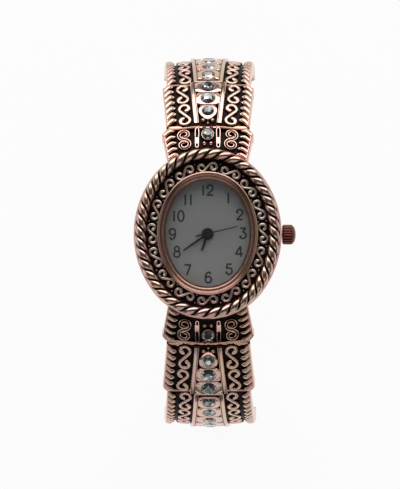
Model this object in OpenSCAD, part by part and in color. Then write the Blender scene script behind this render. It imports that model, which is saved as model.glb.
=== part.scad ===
// Ladies' bangle watch: an oval case between two sprung, stepped arms that curve round the wrist.
// +Z is the way the dial faces, +Y is 12 o'clock and +X is the crown. The origin is the centre of
// the case back's flat outer face. Lengths are in millimetres and angles in degrees.

/* [Case] */
// Half width of the case from the dial axis to 3 o'clock
case_x = 13.2; // [12.8:0.1:13.8]
// How much longer than wide the case is, from the dial axis to 12 o'clock
case_stretch = 2; // [1.6:0.1:2.2]
// Thickness of the case wall
case_wall = 1.7; // [1.4:0.1:1.9]
// Height of the seat that the rope bezel stands on
rope_seat_z = 6.3; // [6.2:0.05:6.5]
// Height of the sunk ground under the bezel scrolls
ground_z = 6.0; // [5.95:0.05:6.1]
// Height of the rebate that the polished ring stands in
rebate_z = 5.65; // [5.6:0.05:5.75]
// Height of the flange's underside, which the dial lies under
flange_z = 5.0; // [4.95:0.05:5.1]
// Radius of the stem hole through the case wall
tube_bore_r = 0.75; // [0.7:0.05:0.9]

/* [Case back] */
// Thickness of the case back's plate
back_t = 0.9; // [0.8:0.05:1.0]
// How far the case back's edge lies in from the case outline
back_inset = 0.9; // [0.8:0.05:1.1]
// Height of the snap lip that reaches into the case
back_lip_h = 0.8; // [0.6:0.1:1.0]
// Thickness of the snap lip
back_lip_t = 0.5; // [0.4:0.05:0.6]

/* [Bezel] */
// How far the polished ring's outer wall lies in from the case outline
ring_inset = 4.3; // [4.2:0.05:4.4]
// How far the edge of the dial opening lies in from the case outline
opening_inset = 5.5; // [5.45:0.05:5.6]
// Height of the polished ring's crest
ring_top_z = 7.4; // [7.3:0.05:7.6]
// Diameter of the rope bezel
rope_d = 1.9; // [1.8:0.05:2.0]
// Number of strands that show round the rope bezel
rope_strands = 42; // [38:2:46]
// Number of S-scrolls round the bezel
scroll_count = 16; // [14:1:16]
// Length of one bezel scroll
scroll_len = 3.75; // [3.5:0.05:3.8]
// Radius of the scroll wire on the bezel
scroll_wire_r = 0.17; // [0.15:0.01:0.19]

/* [Glass and dial] */
// Thickness of the glass
glass_t = 0.72; // [0.65:0.01:0.75]
// Thickness of the dial
dial_t = 0.35; // [0.3:0.01:0.4]
// Length of the minute hand from its centre
minute_len = 5.3; // [5:0.1:5.8]
// Length of the hour hand from its centre
hour_len = 3.2; // [3:0.1:3.6]
// Length of the second hand from its centre
second_len = 5.5; // [5:0.1:5.8]
// Time on the dial in minutes past twelve
time_min = 399.22; // [0:0.01:719]

/* [Crown] */
// Radius of the crown over its ribs
crown_r = 1.78; // [1.6:0.01:1.9]
// Length of the crown
crown_len = 2.45; // [2.2:0.05:2.6]
// Number of grooves round the crown
crown_grooves = 22; // [16:2:26]
// How far the crown pulls out
crown_pull = 0.9; // [0.6:0.1:1.0]
// Radius of the stem
stem_r = 0.4; // [0.35:0.01:0.45]
// Height of the stem's axis
stem_z = 2.8; // [2.75:0.01:2.85]

/* [Cuff] */
// Radius of the cuff's flanks, seen from the side
flank_r = 17.2; // [16.8:0.1:17.8]
// How far the flanks' centres lie from the dial axis
flank_y = 18; // [17.6:0.2:18.4]
// Height of the cuff's crest, in line with the top of the rope bezel
crest_z = 8; // [7.9:0.05:8.1]
// Thickness of the cuff from its outline to the wrist
cuff_t = 3.0; // [2.9:0.05:3.2]
// Depth of the sunk ground under the arms' ornament
panel_depth = 0.9; // [0.8:0.05:1.0]
// Walk along the outline from the dial axis to the outer edge of the end piece
end_piece_end = 20.6; // [20.4:0.1:21]
// Walk to the far edge of the middle tier
middle_end = 31.8; // [31.6:0.1:32.2]
// Walk to the far edge of the outer tier
outer_end = 51.6; // [51:0.1:52]
// Walk to the free end of the arm
arm_end = 79; // [77:0.5:80]
// Width of the end piece where it meets the case
end_piece_w0 = 14.2; // [13.8:0.1:14.6]
// Width of the end piece at its far edge
end_piece_w1 = 16.6; // [16.2:0.1:17]
// Width of the middle tier where it starts
middle_w0 = 14.8; // [14.4:0.1:15.2]
// Width of the middle tier at its far edge
middle_w1 = 16.8; // [16.4:0.1:17.2]
// Width of the outer tier where it starts
outer_w0 = 15.2; // [14.8:0.1:15.6]
// Width of the outer tier at its far edge
outer_w1 = 17.4; // [17:0.1:17.8]
// Width of the plain tail where it starts
tail_w0 = 16.2; // [15.6:0.1:16.8]
// Width of the plain tail at the free end
tail_w1 = 11.5; // [10.5:0.1:12.5]
// Drop from one tier's surface to the next
tier_drop = 0.25; // [0.2:0.01:0.3]
// Thickness of the smooth wall outside the arms' rope edging
edge_wall = 0.35; // [0.3:0.01:0.45]
// Diameter of the arms' rope edging
edging_d = 1.5; // [1.4:0.05:1.55]
// Spacing of the edging's strands
edging_pitch = 1.25; // [1.15:0.05:1.4]
// Width of the rails beside the stones
rail_w = 0.85; // [0.75:0.05:0.95]
// Radius of the scroll wire on the arms
arm_wire_r = 0.24; // [0.2:0.01:0.26]

/* [Hinges] */
// Radius of the hinge barrels
barrel_r = 0.8; // [0.78:0.01:0.82]
// Radius of the hinge pins
pin_r = 0.35; // [0.3:0.01:0.4]
// Half width of the middle barrel, which belongs to the arm
barrel_half = 4.4; // [4:0.1:4.8]
// Walk from the end piece's far edge to the hinge axis
hinge_ahead = 0.3; // [0.25:0.01:0.35]
// Thickness of the leaf spring that closes each arm
leaf_t = 0.3; // [0.25:0.01:0.32]
// Width of the leaf spring
leaf_w = 3.4; // [3:0.1:4]

/* [Stones] */
// Diameter of the stone on each end piece
small_stone = 1.95; // [1.8:0.05:2.1]
// Diameter of the stone next to the hinge
medium_stone = 2.2; // [2:0.05:2.4]
// Diameter of the stones at the wide end of the middle tier
large_stone = 2.6; // [2.45:0.05:2.65]
// Diameter of the stones on the outer tier
outer_stone = 2.3; // [2.1:0.05:2.5]

/* [Movement] */
// How far the movement's plates lie in from the case outline
movement_inset = 5.6; // [5.4:0.1:5.8]
// Thickness of the main plate
main_plate_t = 0.7; // [0.6:0.05:0.75]
// Height of the main plate's underside
main_plate_z = 3.4; // [3.38:0.01:3.45]
// Radius of the battery
battery_r = 3.4; // [3.2:0.05:3.5]
// Thickness of the battery
battery_t = 1.65; // [1.5:0.05:1.7]

/* [Hidden] */

$fn = 64;
seat_gap = 0.02;      // between pieces that are fixed together
run_gap = 0.05;       // between pieces that turn or slide
outline_points = 96;  // corners of a filled oval plate
degrees_per_radian = 180 / PI;

// The case outline is four tangent arcs: two flat ones at 3 and 9 o'clock, two round ones at 12 and 6.
// Their centres are set out on 3-4-5 triangles, so that the arcs meet at exact places.
flat_arc_x = case_stretch * 2;
end_arc_y = case_stretch * 1.5;
flat_r = case_x + flat_arc_x;
case_end_r = flat_r - case_stretch * 2.5;
join_turn = atan2(end_arc_y, flat_arc_x);

// Point of the outline where its outward normal has turned by a from +X, moved out by g
function oval_at(a, g) =
    let (t = (a % 360 + 360) % 360,
         flat = t < join_turn || t > 360 - join_turn || abs(t - 180) < join_turn,
         away = flat ? [t > 90 && t < 270 ? flat_arc_x : -flat_arc_x, 0]
                     : [0, t < 180 ? end_arc_y : -end_arc_y])
    away + ((flat ? flat_r : case_end_r) + g) * [cos(t), sin(t)];

// Length of a quarter of the outline moved out by g
function oval_quarter(g) = ((flat_r + g) * join_turn + (case_end_r + g) * (90 - join_turn))
                           / degrees_per_radian;

// Turn of the outward normal after a walk s along the outline moved out by g, from 3 o'clock
function oval_turn(s, g) =
    let (q = oval_quarter(g), k = floor(s / q), u = s - k * q,
         flat_len = (flat_r + g) * join_turn / degrees_per_radian, round_len = q - flat_len,
         rest = k % 2 == 0 ? u : q - u,
         turn = rest < flat_len ? rest / (flat_r + g) * degrees_per_radian
                : join_turn + (rest - flat_len) / (case_end_r + g) * degrees_per_radian)
    90 * k + (k % 2 == 0 ? turn : 90 - turn);

function spoke(a, r) = [r * cos(a), r * sin(a)];

function oval_points(g) = [for (i = [0:outline_points - 1]) oval_at(360 * i / outline_points, g)];

module oval_plate(g, z0, z1) {
    translate([0, 0, z0]) linear_extrude(z1 - z0) polygon(oval_points(g));
}

// Sweeps a profile round the case outline: its x is the distance out from that outline, its y is z
module oval_sweep() {
    far = 6;
    for (side = [-1, 1]) {
        intersection() {
            translate([-side * flat_arc_x, 0, 0]) rotate_extrude() translate([flat_r, 0]) children();
            translate([0, 0, -50]) linear_extrude(100) polygon([
                [-side * flat_arc_x, 0], [side * far * flat_arc_x, (far + 1) * end_arc_y],
                [side * far * flat_arc_x, -(far + 1) * end_arc_y]]);
        }
        intersection() {
            translate([0, side * end_arc_y, 0]) rotate_extrude() translate([case_end_r, 0]) children();
            translate([0, 0, -50]) linear_extrude(100) polygon([
                [0, side * end_arc_y], [far * flat_arc_x, side * (far + 1) * end_arc_y],
                [-far * flat_arc_x, side * (far + 1) * end_arc_y]]);
        }
    }
}

// The cuff's side view is another four-arc oval, walked from the dial axis towards 12 o'clock.
// Its arcs' centres are set out on 20-21-29 triangles, again so that the arcs meet at exact places.
crest_shift = flank_y * 21 / 20;
crest_r = flank_r + flank_y * 29 / 20;
cuff_z = crest_z - crest_r + crest_shift;
crest_turn = atan2(flank_y, crest_shift);
crest_walk = crest_r * crest_turn / degrees_per_radian;
flank_walk = flank_r * (180 - 2 * crest_turn) / degrees_per_radian;

// Turn of the cuff's outward normal from +Z towards +Y after a walk s
function cuff_turn(s) =
    s < crest_walk ? s / crest_r * degrees_per_radian
    : s < crest_walk + flank_walk ? crest_turn + (s - crest_walk) / flank_r * degrees_per_radian
    : 180 - crest_turn + (s - crest_walk - flank_walk) / crest_r * degrees_per_radian;

// Centre [y, z] and radius of the arc that carries the normal t
function cuff_arc(t) =
    t < crest_turn ? [0, cuff_z - crest_shift, crest_r]
    : t < 180 - crest_turn ? [flank_y, cuff_z, flank_r]
    : [0, cuff_z + crest_shift, crest_r];

// Point at x across the cuff, after a walk s, at height d over the outline
function cuff_at(x, s, d) =
    let (t = cuff_turn(s), arc = cuff_arc(t))
    [x, arc[0] + (arc[2] + d) * sin(t), arc[1] + (arc[2] + d) * cos(t)];

module on_cuff(x, s, d) {
    translate(cuff_at(x, s, d)) rotate([-cuff_turn(s), 0, 0]) children();
}

// Far end of the line from an arc's centre along the normal t, exact where two arcs meet
function cuff_far(arc, t) =
    abs(t - crest_turn) < 0.001 ? [4 * flank_y, cuff_z + 3 * crest_shift]
    : abs(t - 180 + crest_turn) < 0.001 ? [4 * flank_y, cuff_z - 3 * crest_shift]
    : [arc[0] + 90 * sin(t), arc[1] + 90 * cos(t)];

// Band of the cuff between two walks and two heights, as wide as w
module cuff_band(s0, s1, d0, d1, w) {
    t0 = cuff_turn(s0);
    t1 = cuff_turn(s1);
    cuts = [0, crest_turn, 180 - crest_turn, 180];
    for (i = [0:2]) {
        a = max(t0, cuts[i]);
        b = min(t1, cuts[i + 1]);
        arc = cuff_arc((cuts[i] + cuts[i + 1]) / 2);
        if (b > a + 0.01) intersection() {
            translate([0, arc[0], arc[1]]) rotate([0, 90, 0]) difference() {
                cylinder(r = arc[2] + d1, h = w, center = true);
                cylinder(r = arc[2] + d0, h = w + 1, center = true);
            }
            rotate([90, 0, 90]) linear_extrude(w + 2, center = true)
                polygon([[arc[0], arc[1]], cuff_far(arc, a), cuff_far(arc, b)]);
        }
    }
}

// A tier is [start, end, start width, end width, surface height].
end_tier = [10.4, end_piece_end, end_piece_w0 - 0.9, end_piece_w1, 0];
middle_tier = [end_piece_end, middle_end, middle_w0, middle_w1, -tier_drop];
outer_tier = [middle_end, outer_end, outer_w0, outer_w1, -2 * tier_drop];
tail_tier = [outer_end, arm_end, tail_w0, tail_w1, -3 * tier_drop];
band_w = 30;
corner_r = 1.1;
tail_corner_r = 4.5;
corner_steps = 5;

function tier_turn(tier) = (cuff_turn(tier[0]) + cuff_turn(tier[1])) / 2;
function tier_along(tier, s) =
    let (a = tier_turn(tier), p = cuff_at(0, s, 0)) p[1] * cos(a) - p[2] * sin(a);
function tier_width(tier, s) = tier[2] + (tier[3] - tier[2]) * (s - tier[0]) / (tier[1] - tier[0]);

// Plan of a tier, drawn in by inset, with round corners at its far edge
function tier_plan(tier, inset, r) =
    let (y0 = tier_along(tier, tier[0]) - 3, y1 = tier_along(tier, tier[1]),
         slope = (tier[3] - tier[2]) / 2 / (y1 - y0 - 3),
         w0 = tier[2] / 2 - 3 * slope - inset, w1 = tier[3] / 2 - inset,
         side = [for (i = [0:corner_steps]) let (a = 90 * i / corner_steps)
                 [w1 - r * slope - r + r * cos(a), y1 - r + r * sin(a)]])
    concat([[-w0, y0], [w0, y0]], side, [for (i = [corner_steps:-1:0]) [-side[i][0], side[i][1]]]);

// Cuts a plan shape out of the band between two heights
module tier_slab(tier, d0, d1) {
    intersection() {
        cuff_band(tier[0], tier[1], d0, d1, band_w);
        rotate([-tier_turn(tier), 0, 0]) linear_extrude(160, center = true) children();
    }
}

// Hinge axis and its place on the cuff
hinge_walk = end_piece_end + hinge_ahead;
hinge_drop = tier_drop + panel_depth + 0.05 + barrel_r;
barrel_gap = 0.08;
hinge_face_gap = 0.03;
raised_start = end_piece_end + 0.62;
overlap = 0.5;

module on_hinge(r, half, x = 0) {
    on_cuff(x, hinge_walk, -hinge_drop) rotate([0, 90, 0]) cylinder(r = r, h = 2 * half, center = true);
}

// Tube swept along points c with normals n; reach[i][j] is the radius at ring i and corner j
module tube(c, n, reach, closed = false) {
    count = len(c);
    m = len(reach[0]);
    pts = [for (i = [0:count - 1])
           let (before = c[closed ? (i + count - 1) % count : max(i - 1, 0)],
                after = c[closed ? (i + 1) % count : min(i + 1, count - 1)],
                t = (after - before) / norm(after - before),
                side = cross(t, n[i]) / norm(cross(t, n[i])), up = cross(side, t))
           for (j = [0:m - 1]) c[i] + reach[i][j] * (cos(360 * j / m) * side + sin(360 * j / m) * up)];
    last = closed ? count - 1 : count - 2;
    walls = [for (i = [0:last]) for (j = [0:m - 1])
             let (a = i * m, b = ((i + 1) % count) * m, k = (j + 1) % m)
             each [[a + j, b + k, a + k], [a + j, b + j, b + k]]];
    ends = closed ? [] : concat([for (j = [1:m - 2]) [0, j, j + 1]],
                                [for (j = [1:m - 2]) let (o = (count - 1) * m) [o, o + j + 1, o + j]]);
    polyhedron(pts, concat(walls, ends));
}

// Reach of a two-strand rope, turned by a, at each corner of its section
rope_sides = 6;
rope_rings = 4;
waist = 0.62;
function rope_reach(r, a) =
    [for (j = [0:rope_sides - 1]) r * (waist + (1 - waist) * pow(cos(360 * j / rope_sides - a), 2))];

// An S-scroll as points [along, across] of length 1: its direction turns faster towards both ends
scroll_turns = 345;
scroll_power = 1.35;
scroll_lean = 62;
scroll_steps = 12;
function scroll_walk(i) = pow(i / scroll_steps, 1 / scroll_power);
function scroll_half() =
    [for (i = 0, p = [0, 0]; i <= scroll_steps;
          p = p + spoke(scroll_lean - scroll_turns * (i + 0.5) / scroll_steps,
                        scroll_walk(i + 1) - scroll_walk(i)), i = i + 1) p];
function scroll_reach() = max([for (p = scroll_half()) abs(p[0])]);
function scroll_points(size) =
    let (half = scroll_half(), k = size / 2 / scroll_reach())
    concat([for (i = [scroll_steps:-1:1]) -k * half[i]], [for (p = half) k * p]);

// Outline of a ribbon as wide as w along the points p
function ribbon(p, w) =
    let (n = len(p),
         off = [for (i = [0:n - 1]) let (t = p[min(i + 1, n - 1)] - p[max(i - 1, 0)])
                [-t[1], t[0]] / norm(t) * w / 2])
    concat([for (i = [0:n - 1]) p[i] + off[i]], [for (i = [n - 1:-1:0]) p[i] - off[i]]);

module case_body() {
    color("#a8786a") difference() {
        oval_sweep() polygon([
            [-back_inset, back_t], [-0.15, back_t + 0.8], [0, back_t + 1.8], [0, rope_seat_z - 0.5],
            [-0.3, rope_seat_z], [-rope_d - 0.4, rope_seat_z], [-rope_d - 0.4, ground_z],
            [-ring_inset + seat_gap, ground_z], [-ring_inset + seat_gap, rebate_z],
            [-opening_inset + 0.05, rebate_z], [-opening_inset + 0.05, flange_z],
            [-case_wall, flange_z], [-case_wall, back_t]]);
        translate([case_x - case_wall - 1, 0, stem_z]) rotate([0, 90, 0])
            cylinder(r = tube_bore_r, h = case_wall + 2);
    }
}

module case_back() {
    color("#b9b2ac") {
        oval_plate(-back_inset, 0, back_t - seat_gap);
        oval_sweep() translate([-case_wall - back_lip_t - 0.25, back_t - seat_gap - 0.1])
            square([back_lip_t, back_lip_h + 0.1]);
    }
}

module case_back_gasket() {
    color("#202020") oval_sweep() translate([-case_wall - 0.23, back_t])
        square([0.21, 0.45]);
}

module bezel_ring() {
    color("#c08a78") oval_sweep() polygon([
        [-ring_inset, rebate_z + seat_gap], [-ring_inset, ring_top_z - 0.25],
        [-ring_inset - 0.1, ring_top_z - 0.06], [-ring_inset - 0.25, ring_top_z],
        [-ring_inset - 0.4, ring_top_z - 0.08], [-ring_inset - 0.55, ring_top_z - 0.32],
        [-ring_inset - 0.8, ring_top_z - 0.48], [-opening_inset, ring_top_z - 0.55],
        [-opening_inset, rebate_z + 0.25 + glass_t + 0.06],
        [-opening_inset + 0.5, rebate_z + 0.25 + glass_t + 0.06],
        [-opening_inset + 0.5, rebate_z + seat_gap]]);
}

module glass_gasket() {
    color("#303030") oval_sweep() polygon([
        [-opening_inset + 0.48, rebate_z + seat_gap], [-opening_inset + 0.48, rebate_z + 0.9],
        [-opening_inset + 0.36, rebate_z + 0.9], [-opening_inset + 0.36, rebate_z + 0.23],
        [-opening_inset + 0.08, rebate_z + 0.23], [-opening_inset + 0.08, rebate_z + seat_gap]]);
}

module glass() {
    color("#dfe8ea", 0.4) oval_plate(-opening_inset + 0.34, rebate_z + 0.25, rebate_z + 0.25 + glass_t);
}

// The rope lies on its seat and twists once for every two strands that show.
module bezel_rope() {
    g = -0.3 - rope_d / 2;
    rings = rope_strands * rope_rings;
    walk = 4 * oval_quarter(g) / rings;
    turns = [for (i = [0:rings - 1]) oval_turn(i * walk, g)];
    color("#c99484") tube(
        [for (t = turns) let (p = oval_at(t, g)) [p[0], p[1], rope_seat_z + seat_gap + rope_d / 2]],
        [for (t = turns) [0, 0, 1]],
        [for (i = [0:rings - 1]) rope_reach(rope_d / 2, -180 * i / rope_rings)], true);
}

// Each scroll lies along the bezel's channel, and a small bead fills the gap on each side of it.
module bezel_scrolls() {
    g = -(rope_d + 0.4 + ring_inset) / 2;
    pitch = 4 * oval_quarter(g) / scroll_count;
    outline = ribbon(scroll_points(scroll_len), 2 * scroll_wire_r);
    color("#d6aca0") for (k = [0:scroll_count - 1]) {
        middle = 5 * oval_quarter(g) - k * pitch;
        translate([0, 0, ground_z + seat_gap]) linear_extrude(2 * scroll_wire_r)
            polygon([for (p = outline) oval_at(oval_turn(middle - p[0], g), g + p[1])]);
    }
    color("#d6aca0") for (k = [0:scroll_count - 1]) for (side = [-1, 1]) {
        q = oval_at(oval_turn(5 * oval_quarter(g) - (k + 0.5) * pitch, g), g + side * 0.72);
        translate([q[0], q[1], ground_z + seat_gap]) cylinder(r = 0.12, h = 0.2, $fn = 24);
    }
}

module dial() {
    color("#d9d6cf") difference() {
        oval_plate(-opening_inset + 0.9, flange_z - dial_t - seat_gap, flange_z - seat_gap);
        cylinder(r = 0.62, h = 20);
    }
}

// Heights in the movement
plate_top_z = main_plate_z + main_plate_t;
dial_top_z = flange_z - seat_gap;
dial_low_z = dial_top_z - dial_t;
bridge_z = 1.25;
bridge_t = 0.3;
wheel_t = 0.14;
arbor_r = 0.14;

// Places of the wheels [x, y] about the dial axis
function mesh_gap(z1, z2, m) = m * (z1 + z2) / 2;
train_module = 0.075;
seconds_pinion = 8;
third_teeth = 60;
third_pinion = 8;
centre_teeth = 64;
fifth_pinion = 8;
seconds_teeth = 40;
rotor_pinion = 6;
fifth_teeth = 36;
cannon_teeth = 12;
minute_teeth = 36;
minute_pinion = 10;
hour_teeth = 40;
motion_module = 0.1;
third_angle = 100;
fifth_angle = 160;
rotor_angle = 200;
minute_wheel_angle = 45;
third_far = mesh_gap(seconds_pinion, third_teeth, train_module);
third_module = 2 * third_far / (third_pinion + centre_teeth);
fifth_far = mesh_gap(fifth_pinion, seconds_teeth, 0.09);
rotor_far = mesh_gap(rotor_pinion, fifth_teeth, train_module);
minute_far = mesh_gap(cannon_teeth, minute_teeth, motion_module);
hour_module = 2 * minute_far / (minute_pinion + hour_teeth);
third_at = spoke(third_angle, third_far);
fifth_at = spoke(fifth_angle, fifth_far);
rotor_at = fifth_at + spoke(rotor_angle, rotor_far);
minute_at = spoke(minute_wheel_angle, minute_far);

// A toothed wheel with a tooth at angle a, or with a gap there
module gear(teeth, m, z0, z1, a, gap = false) {
    pitch = 360 / teeth;
    root = m * (teeth / 2 - 1.2);
    tip = m * (teeth / 2 + 0.8);
    pts = [for (i = [0:teeth - 1]) let (b = a + pitch * (i + (gap ? 0.5 : 0)))
           each [spoke(b - 0.3 * pitch, root), spoke(b - 0.12 * pitch, tip),
                 spoke(b + 0.12 * pitch, tip), spoke(b + 0.3 * pitch, root)]];
    translate([0, 0, z0]) linear_extrude(z1 - z0) polygon(pts);
}

module movement_holder() {
    color("#e8e4da") difference() {
        oval_plate(-case_wall - back_lip_t - 0.35, back_t + 0.15, dial_low_z - seat_gap);
        oval_plate(-movement_inset + seat_gap, 0, 10);
        translate([5, 0, stem_z]) rotate([0, 90, 0]) cylinder(r = 0.9, h = 10);
    }
}

module main_plate() {
    color("#c9b37a") difference() {
        oval_plate(-movement_inset, main_plate_z, plate_top_z);
        translate([0, 0, main_plate_z - 1]) cylinder(r = 0.5, h = 4);
        translate([minute_at[0], minute_at[1], main_plate_z - 1]) cylinder(r = arbor_r + run_gap, h = 4);
    }
}

// The bridge carries the train's lower pivots and stands on two posts.
module train_bridge() {
    posts = [[-3.2, 6.3], [3.2, 6.3], [-6.4, -1.2]];
    color("#c4c4c0") {
        difference() {
            translate([0, 0, bridge_z]) linear_extrude(bridge_t)
                polygon([[-6.9, -2.0], [-0.5, -2.0], [3.9, 2.0], [3.9, 7.0], [-3.9, 7.0], [-6.9, 2.4]]);
            for (p = [[0, 0], third_at, fifth_at, rotor_at])
                translate([p[0], p[1], bridge_z - 1]) cylinder(r = arbor_r + run_gap, h = 3);
        }
        for (p = posts) translate([p[0], p[1], bridge_z]) cylinder(r = 0.45, h = main_plate_z - bridge_z);
    }
}

// Places of the fixed electrical pieces
battery_at = [0, -5.4];
coil_at = [5.0, 1.6];
coil_len = 3.6;
coil_r = 0.75;
coil_z = 1.9;

module circuit_block() {
    color("#2f6b46") difference() {
        translate([0, 0, main_plate_z - 0.3]) linear_extrude(0.3)
            polygon([[-6.2, -2.4], [-4.6, -2.4], [-3.7, -4.0], [-3.9, -6.8], [-5.2, -5.4], [-6.4, -3.4]]);
        translate([-5.6, -3.1, 0]) cylinder(r = 0.25, h = 10);
    }
}

module coil() {
    color("#b5713a") translate([coil_at[0], coil_at[1], coil_z]) rotate([-90, 0, 0]) {
        cylinder(r = coil_r, h = coil_len);
        translate([0, 0, -0.5]) cylinder(r = 0.3, h = coil_len + 1);
    }
    color("#8a8d90") for (y = [-0.9, coil_len + 0.1])
        translate([coil_at[0] - 0.6, coil_at[1] + y, coil_z - 0.3]) cube([1.2, 0.8, 0.6]);
}

module stator() {
    color("#9a9da0") difference() {
        translate([0, 0, 2.1]) linear_extrude(0.4)
            polygon([[rotor_at[0] - 1.3, rotor_at[1] - 1.2], [rotor_at[0] + 0.9, rotor_at[1] - 1.2],
                     [rotor_at[0] + 1.3, rotor_at[1] - 0.2], [rotor_at[0] + 1.3, rotor_at[1] + 0.6],
                     [rotor_at[0] + 0.6, rotor_at[1] + 1.2], [rotor_at[0] - 1.3, rotor_at[1] + 1.2]]);
        translate([rotor_at[0], rotor_at[1], 0]) cylinder(r = 0.8, h = 5);
    }
}

module battery() {
    color("#c8c8c4") translate([battery_at[0], battery_at[1], main_plate_z - 0.1 - battery_t]) {
        cylinder(r = battery_r, h = battery_t * 0.72);
        cylinder(r = battery_r - 0.45, h = battery_t);
    }
}

module quartz_crystal() {
    color("#d0d3d6") translate([-5.2, 3.0, 2.6]) rotate([-90, 0, 0]) cylinder(r = 0.6, h = 2.75);
}

// Crown side pieces
tube_len = case_wall + 0.6;
crown_x0 = case_x + 0.12;

module crown_tube() {
    color("#b9b2ac") translate([case_x - case_wall - 0.4, 0, stem_z]) rotate([0, 90, 0]) difference() {
        cylinder(r = tube_bore_r - seat_gap, h = tube_len);
        translate([0, 0, -1]) cylinder(r = stem_r + run_gap, h = tube_len + 2);
    }
}

stem_x0 = 5.2;
lever_x = 6.2;
lever_t = 0.3;

module setting_lever() {
    color("#a0a4a8") difference() {
        translate([lever_x, -1.5, stem_z - 0.75]) cube([lever_t, 2.2, 1.3]);
        translate([lever_x - 1, 0, stem_z]) rotate([0, 90, 0]) cylinder(r = stem_r - 0.12 + run_gap, h = 3);
        translate([lever_x - 1, -stem_r + 0.12 - run_gap, stem_z]) cube([3, 2 * (stem_r - 0.12 + run_gap), 2]);
    }
}

// The stem has a groove that the setting lever's fork lies in.
module stem() {
    color("#a0a4a8") translate([stem_x0, 0, stem_z]) rotate([0, 90, 0]) difference() {
        cylinder(r = stem_r, h = crown_x0 + 1.4 - stem_x0);
        translate([0, 0, lever_x - run_gap - stem_x0]) difference() {
            cylinder(r = 2, h = lever_t + 2 * run_gap);
            translate([0, 0, -1]) cylinder(r = stem_r - 0.12, h = 3);
        }
    }
}

// A fluted crown with a domed end, hollow inside for the tube and the gasket
module crown() {
    dome = 0.55;
    groove_r = 0.17;
    hollow_r = 1.15;
    color("#8a5048") translate([crown_x0, 0, stem_z]) rotate([0, 90, 0]) difference() {
        rotate_extrude() polygon(concat(
            [[stem_r + seat_gap, 0.95], [hollow_r, 0.95], [hollow_r, 0], [crown_r - 0.2, 0],
             [crown_r, 0.2], [crown_r, crown_len - dome - 0.15]],
            [for (i = [0:5]) let (a = 90 * i / 6)
             [(crown_r - 0.15) * cos(a), crown_len - dome + dome * sin(a)]],
            [[0, crown_len], [0, 1.42], [stem_r + seat_gap, 1.42]]));
        for (i = [0:crown_grooves - 1]) rotate(360 * (i + 0.5) / crown_grooves)
            translate([crown_r + 0.05, 0, -0.1]) cylinder(r = groove_r, h = crown_len - dome);
    }
}

module crown_gasket() {
    color("#202020") translate([crown_x0 + 0.6, 0, stem_z]) rotate([0, 90, 0]) difference() {
        cylinder(r = 1.15 - seat_gap, h = 0.3);
        translate([0, 0, -1]) cylinder(r = tube_bore_r + run_gap, h = 3);
    }
}

// The hands' heights and the seats of their tubes
hour_hand_z = dial_top_z + 0.16;
minute_hand_z = hour_hand_z + 0.24;
second_hand_z = minute_hand_z + 0.24;
hand_t = 0.1;
hub_r = 1.05;
hour_tube_r = 0.56;
minute_tube_r = 0.42;
minute_bore_r = 0.28;

module hour_wheel() {
    z0 = plate_top_z + 0.26;
    color("#c9b37a") difference() {
        union() {
            gear(hour_teeth, hour_module, z0, z0 + wheel_t, minute_wheel_angle);
            translate([0, 0, z0]) cylinder(r = hour_tube_r, h = hour_hand_z + hand_t - z0);
        }
        translate([0, 0, z0 - 1]) cylinder(r = minute_tube_r + run_gap, h = 5);
    }
}

module hand_blade(len, w0, w1, angle, z, t) {
    translate([0, 0, z]) rotate(90 - angle) linear_extrude(t)
        polygon([[0, -w0 / 2], [len * 0.97, -w1 / 2], [len, -w1 / 4], [len, w1 / 4],
                 [len * 0.97, w1 / 2], [0, w0 / 2]]);
}

module hour_hand() {
    color("#151515") difference() {
        union() {
            hand_blade(hour_len, 0.46, 0.36, time_min / 2, hour_hand_z, hand_t);
            translate([0, 0, hour_hand_z]) cylinder(r = hub_r, h = hand_t);
        }
        cylinder(r = hour_tube_r + seat_gap, h = 20);
    }
}

module centre_wheel() {
    color("#c9b37a") difference() {
        union() {
            gear(centre_teeth, third_module, main_plate_z - 0.3, main_plate_z - 0.3 + wheel_t,
                 third_angle);
            gear(cannon_teeth, motion_module, plate_top_z + 0.05, plate_top_z + 0.22,
                 minute_wheel_angle);
            translate([0, 0, main_plate_z - 0.3])
                cylinder(r = minute_tube_r, h = minute_hand_z + hand_t - main_plate_z + 0.3);
        }
        translate([0, 0, 1]) cylinder(r = minute_bore_r, h = 9);
    }
}

module minute_hand() {
    color("#151515") difference() {
        union() {
            hand_blade(minute_len, 0.42, 0.26, time_min * 6, minute_hand_z, hand_t);
            translate([0, 0, minute_hand_z]) cylinder(r = hub_r * 0.85, h = hand_t);
        }
        cylinder(r = minute_tube_r + seat_gap, h = 20);
    }
}

module seconds_wheel() {
    low = bridge_z + bridge_t + 0.08;
    color("#c9b37a") {
        gear(seconds_teeth, 0.09, low + 0.1, low + 0.1 + wheel_t, fifth_angle);
        gear(seconds_pinion, train_module, 2.3, 2.78, third_angle);
        translate([0, 0, bridge_z + 0.02]) cylinder(r = arbor_r, h = 1.3);
        translate([0, 0, 2.0]) cylinder(r = minute_bore_r - run_gap, h = second_hand_z + hand_t - 2.0);
    }
}

module second_hand() {
    tail = 2.2;
    second_angle = (time_min - floor(time_min)) * 360 - 2.4;
    color("#151515") difference() {
        union() {
            hand_blade(second_len, 0.24, 0.16, second_angle, second_hand_z, hand_t);
            hand_blade(tail, 0.26, 0.3, second_angle + 180, second_hand_z, hand_t);
            translate([0, 0, second_hand_z]) cylinder(r = hub_r * 0.7, h = hand_t + 0.04);
        }
        cylinder(r = minute_bore_r - run_gap + seat_gap, h = second_hand_z + hand_t * 0.6);
    }
}

module third_wheel() {
    color("#c9b37a") translate([third_at[0], third_at[1], 0]) {
        gear(third_teeth, train_module, 2.45, 2.45 + wheel_t, third_angle + 180, true);
        gear(third_pinion, third_module, 2.8, main_plate_z - 0.06, third_angle + 180, true);
        translate([0, 0, bridge_z + 0.02]) cylinder(r = arbor_r, h = main_plate_z - bridge_z - 0.06);
    }
}

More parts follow.
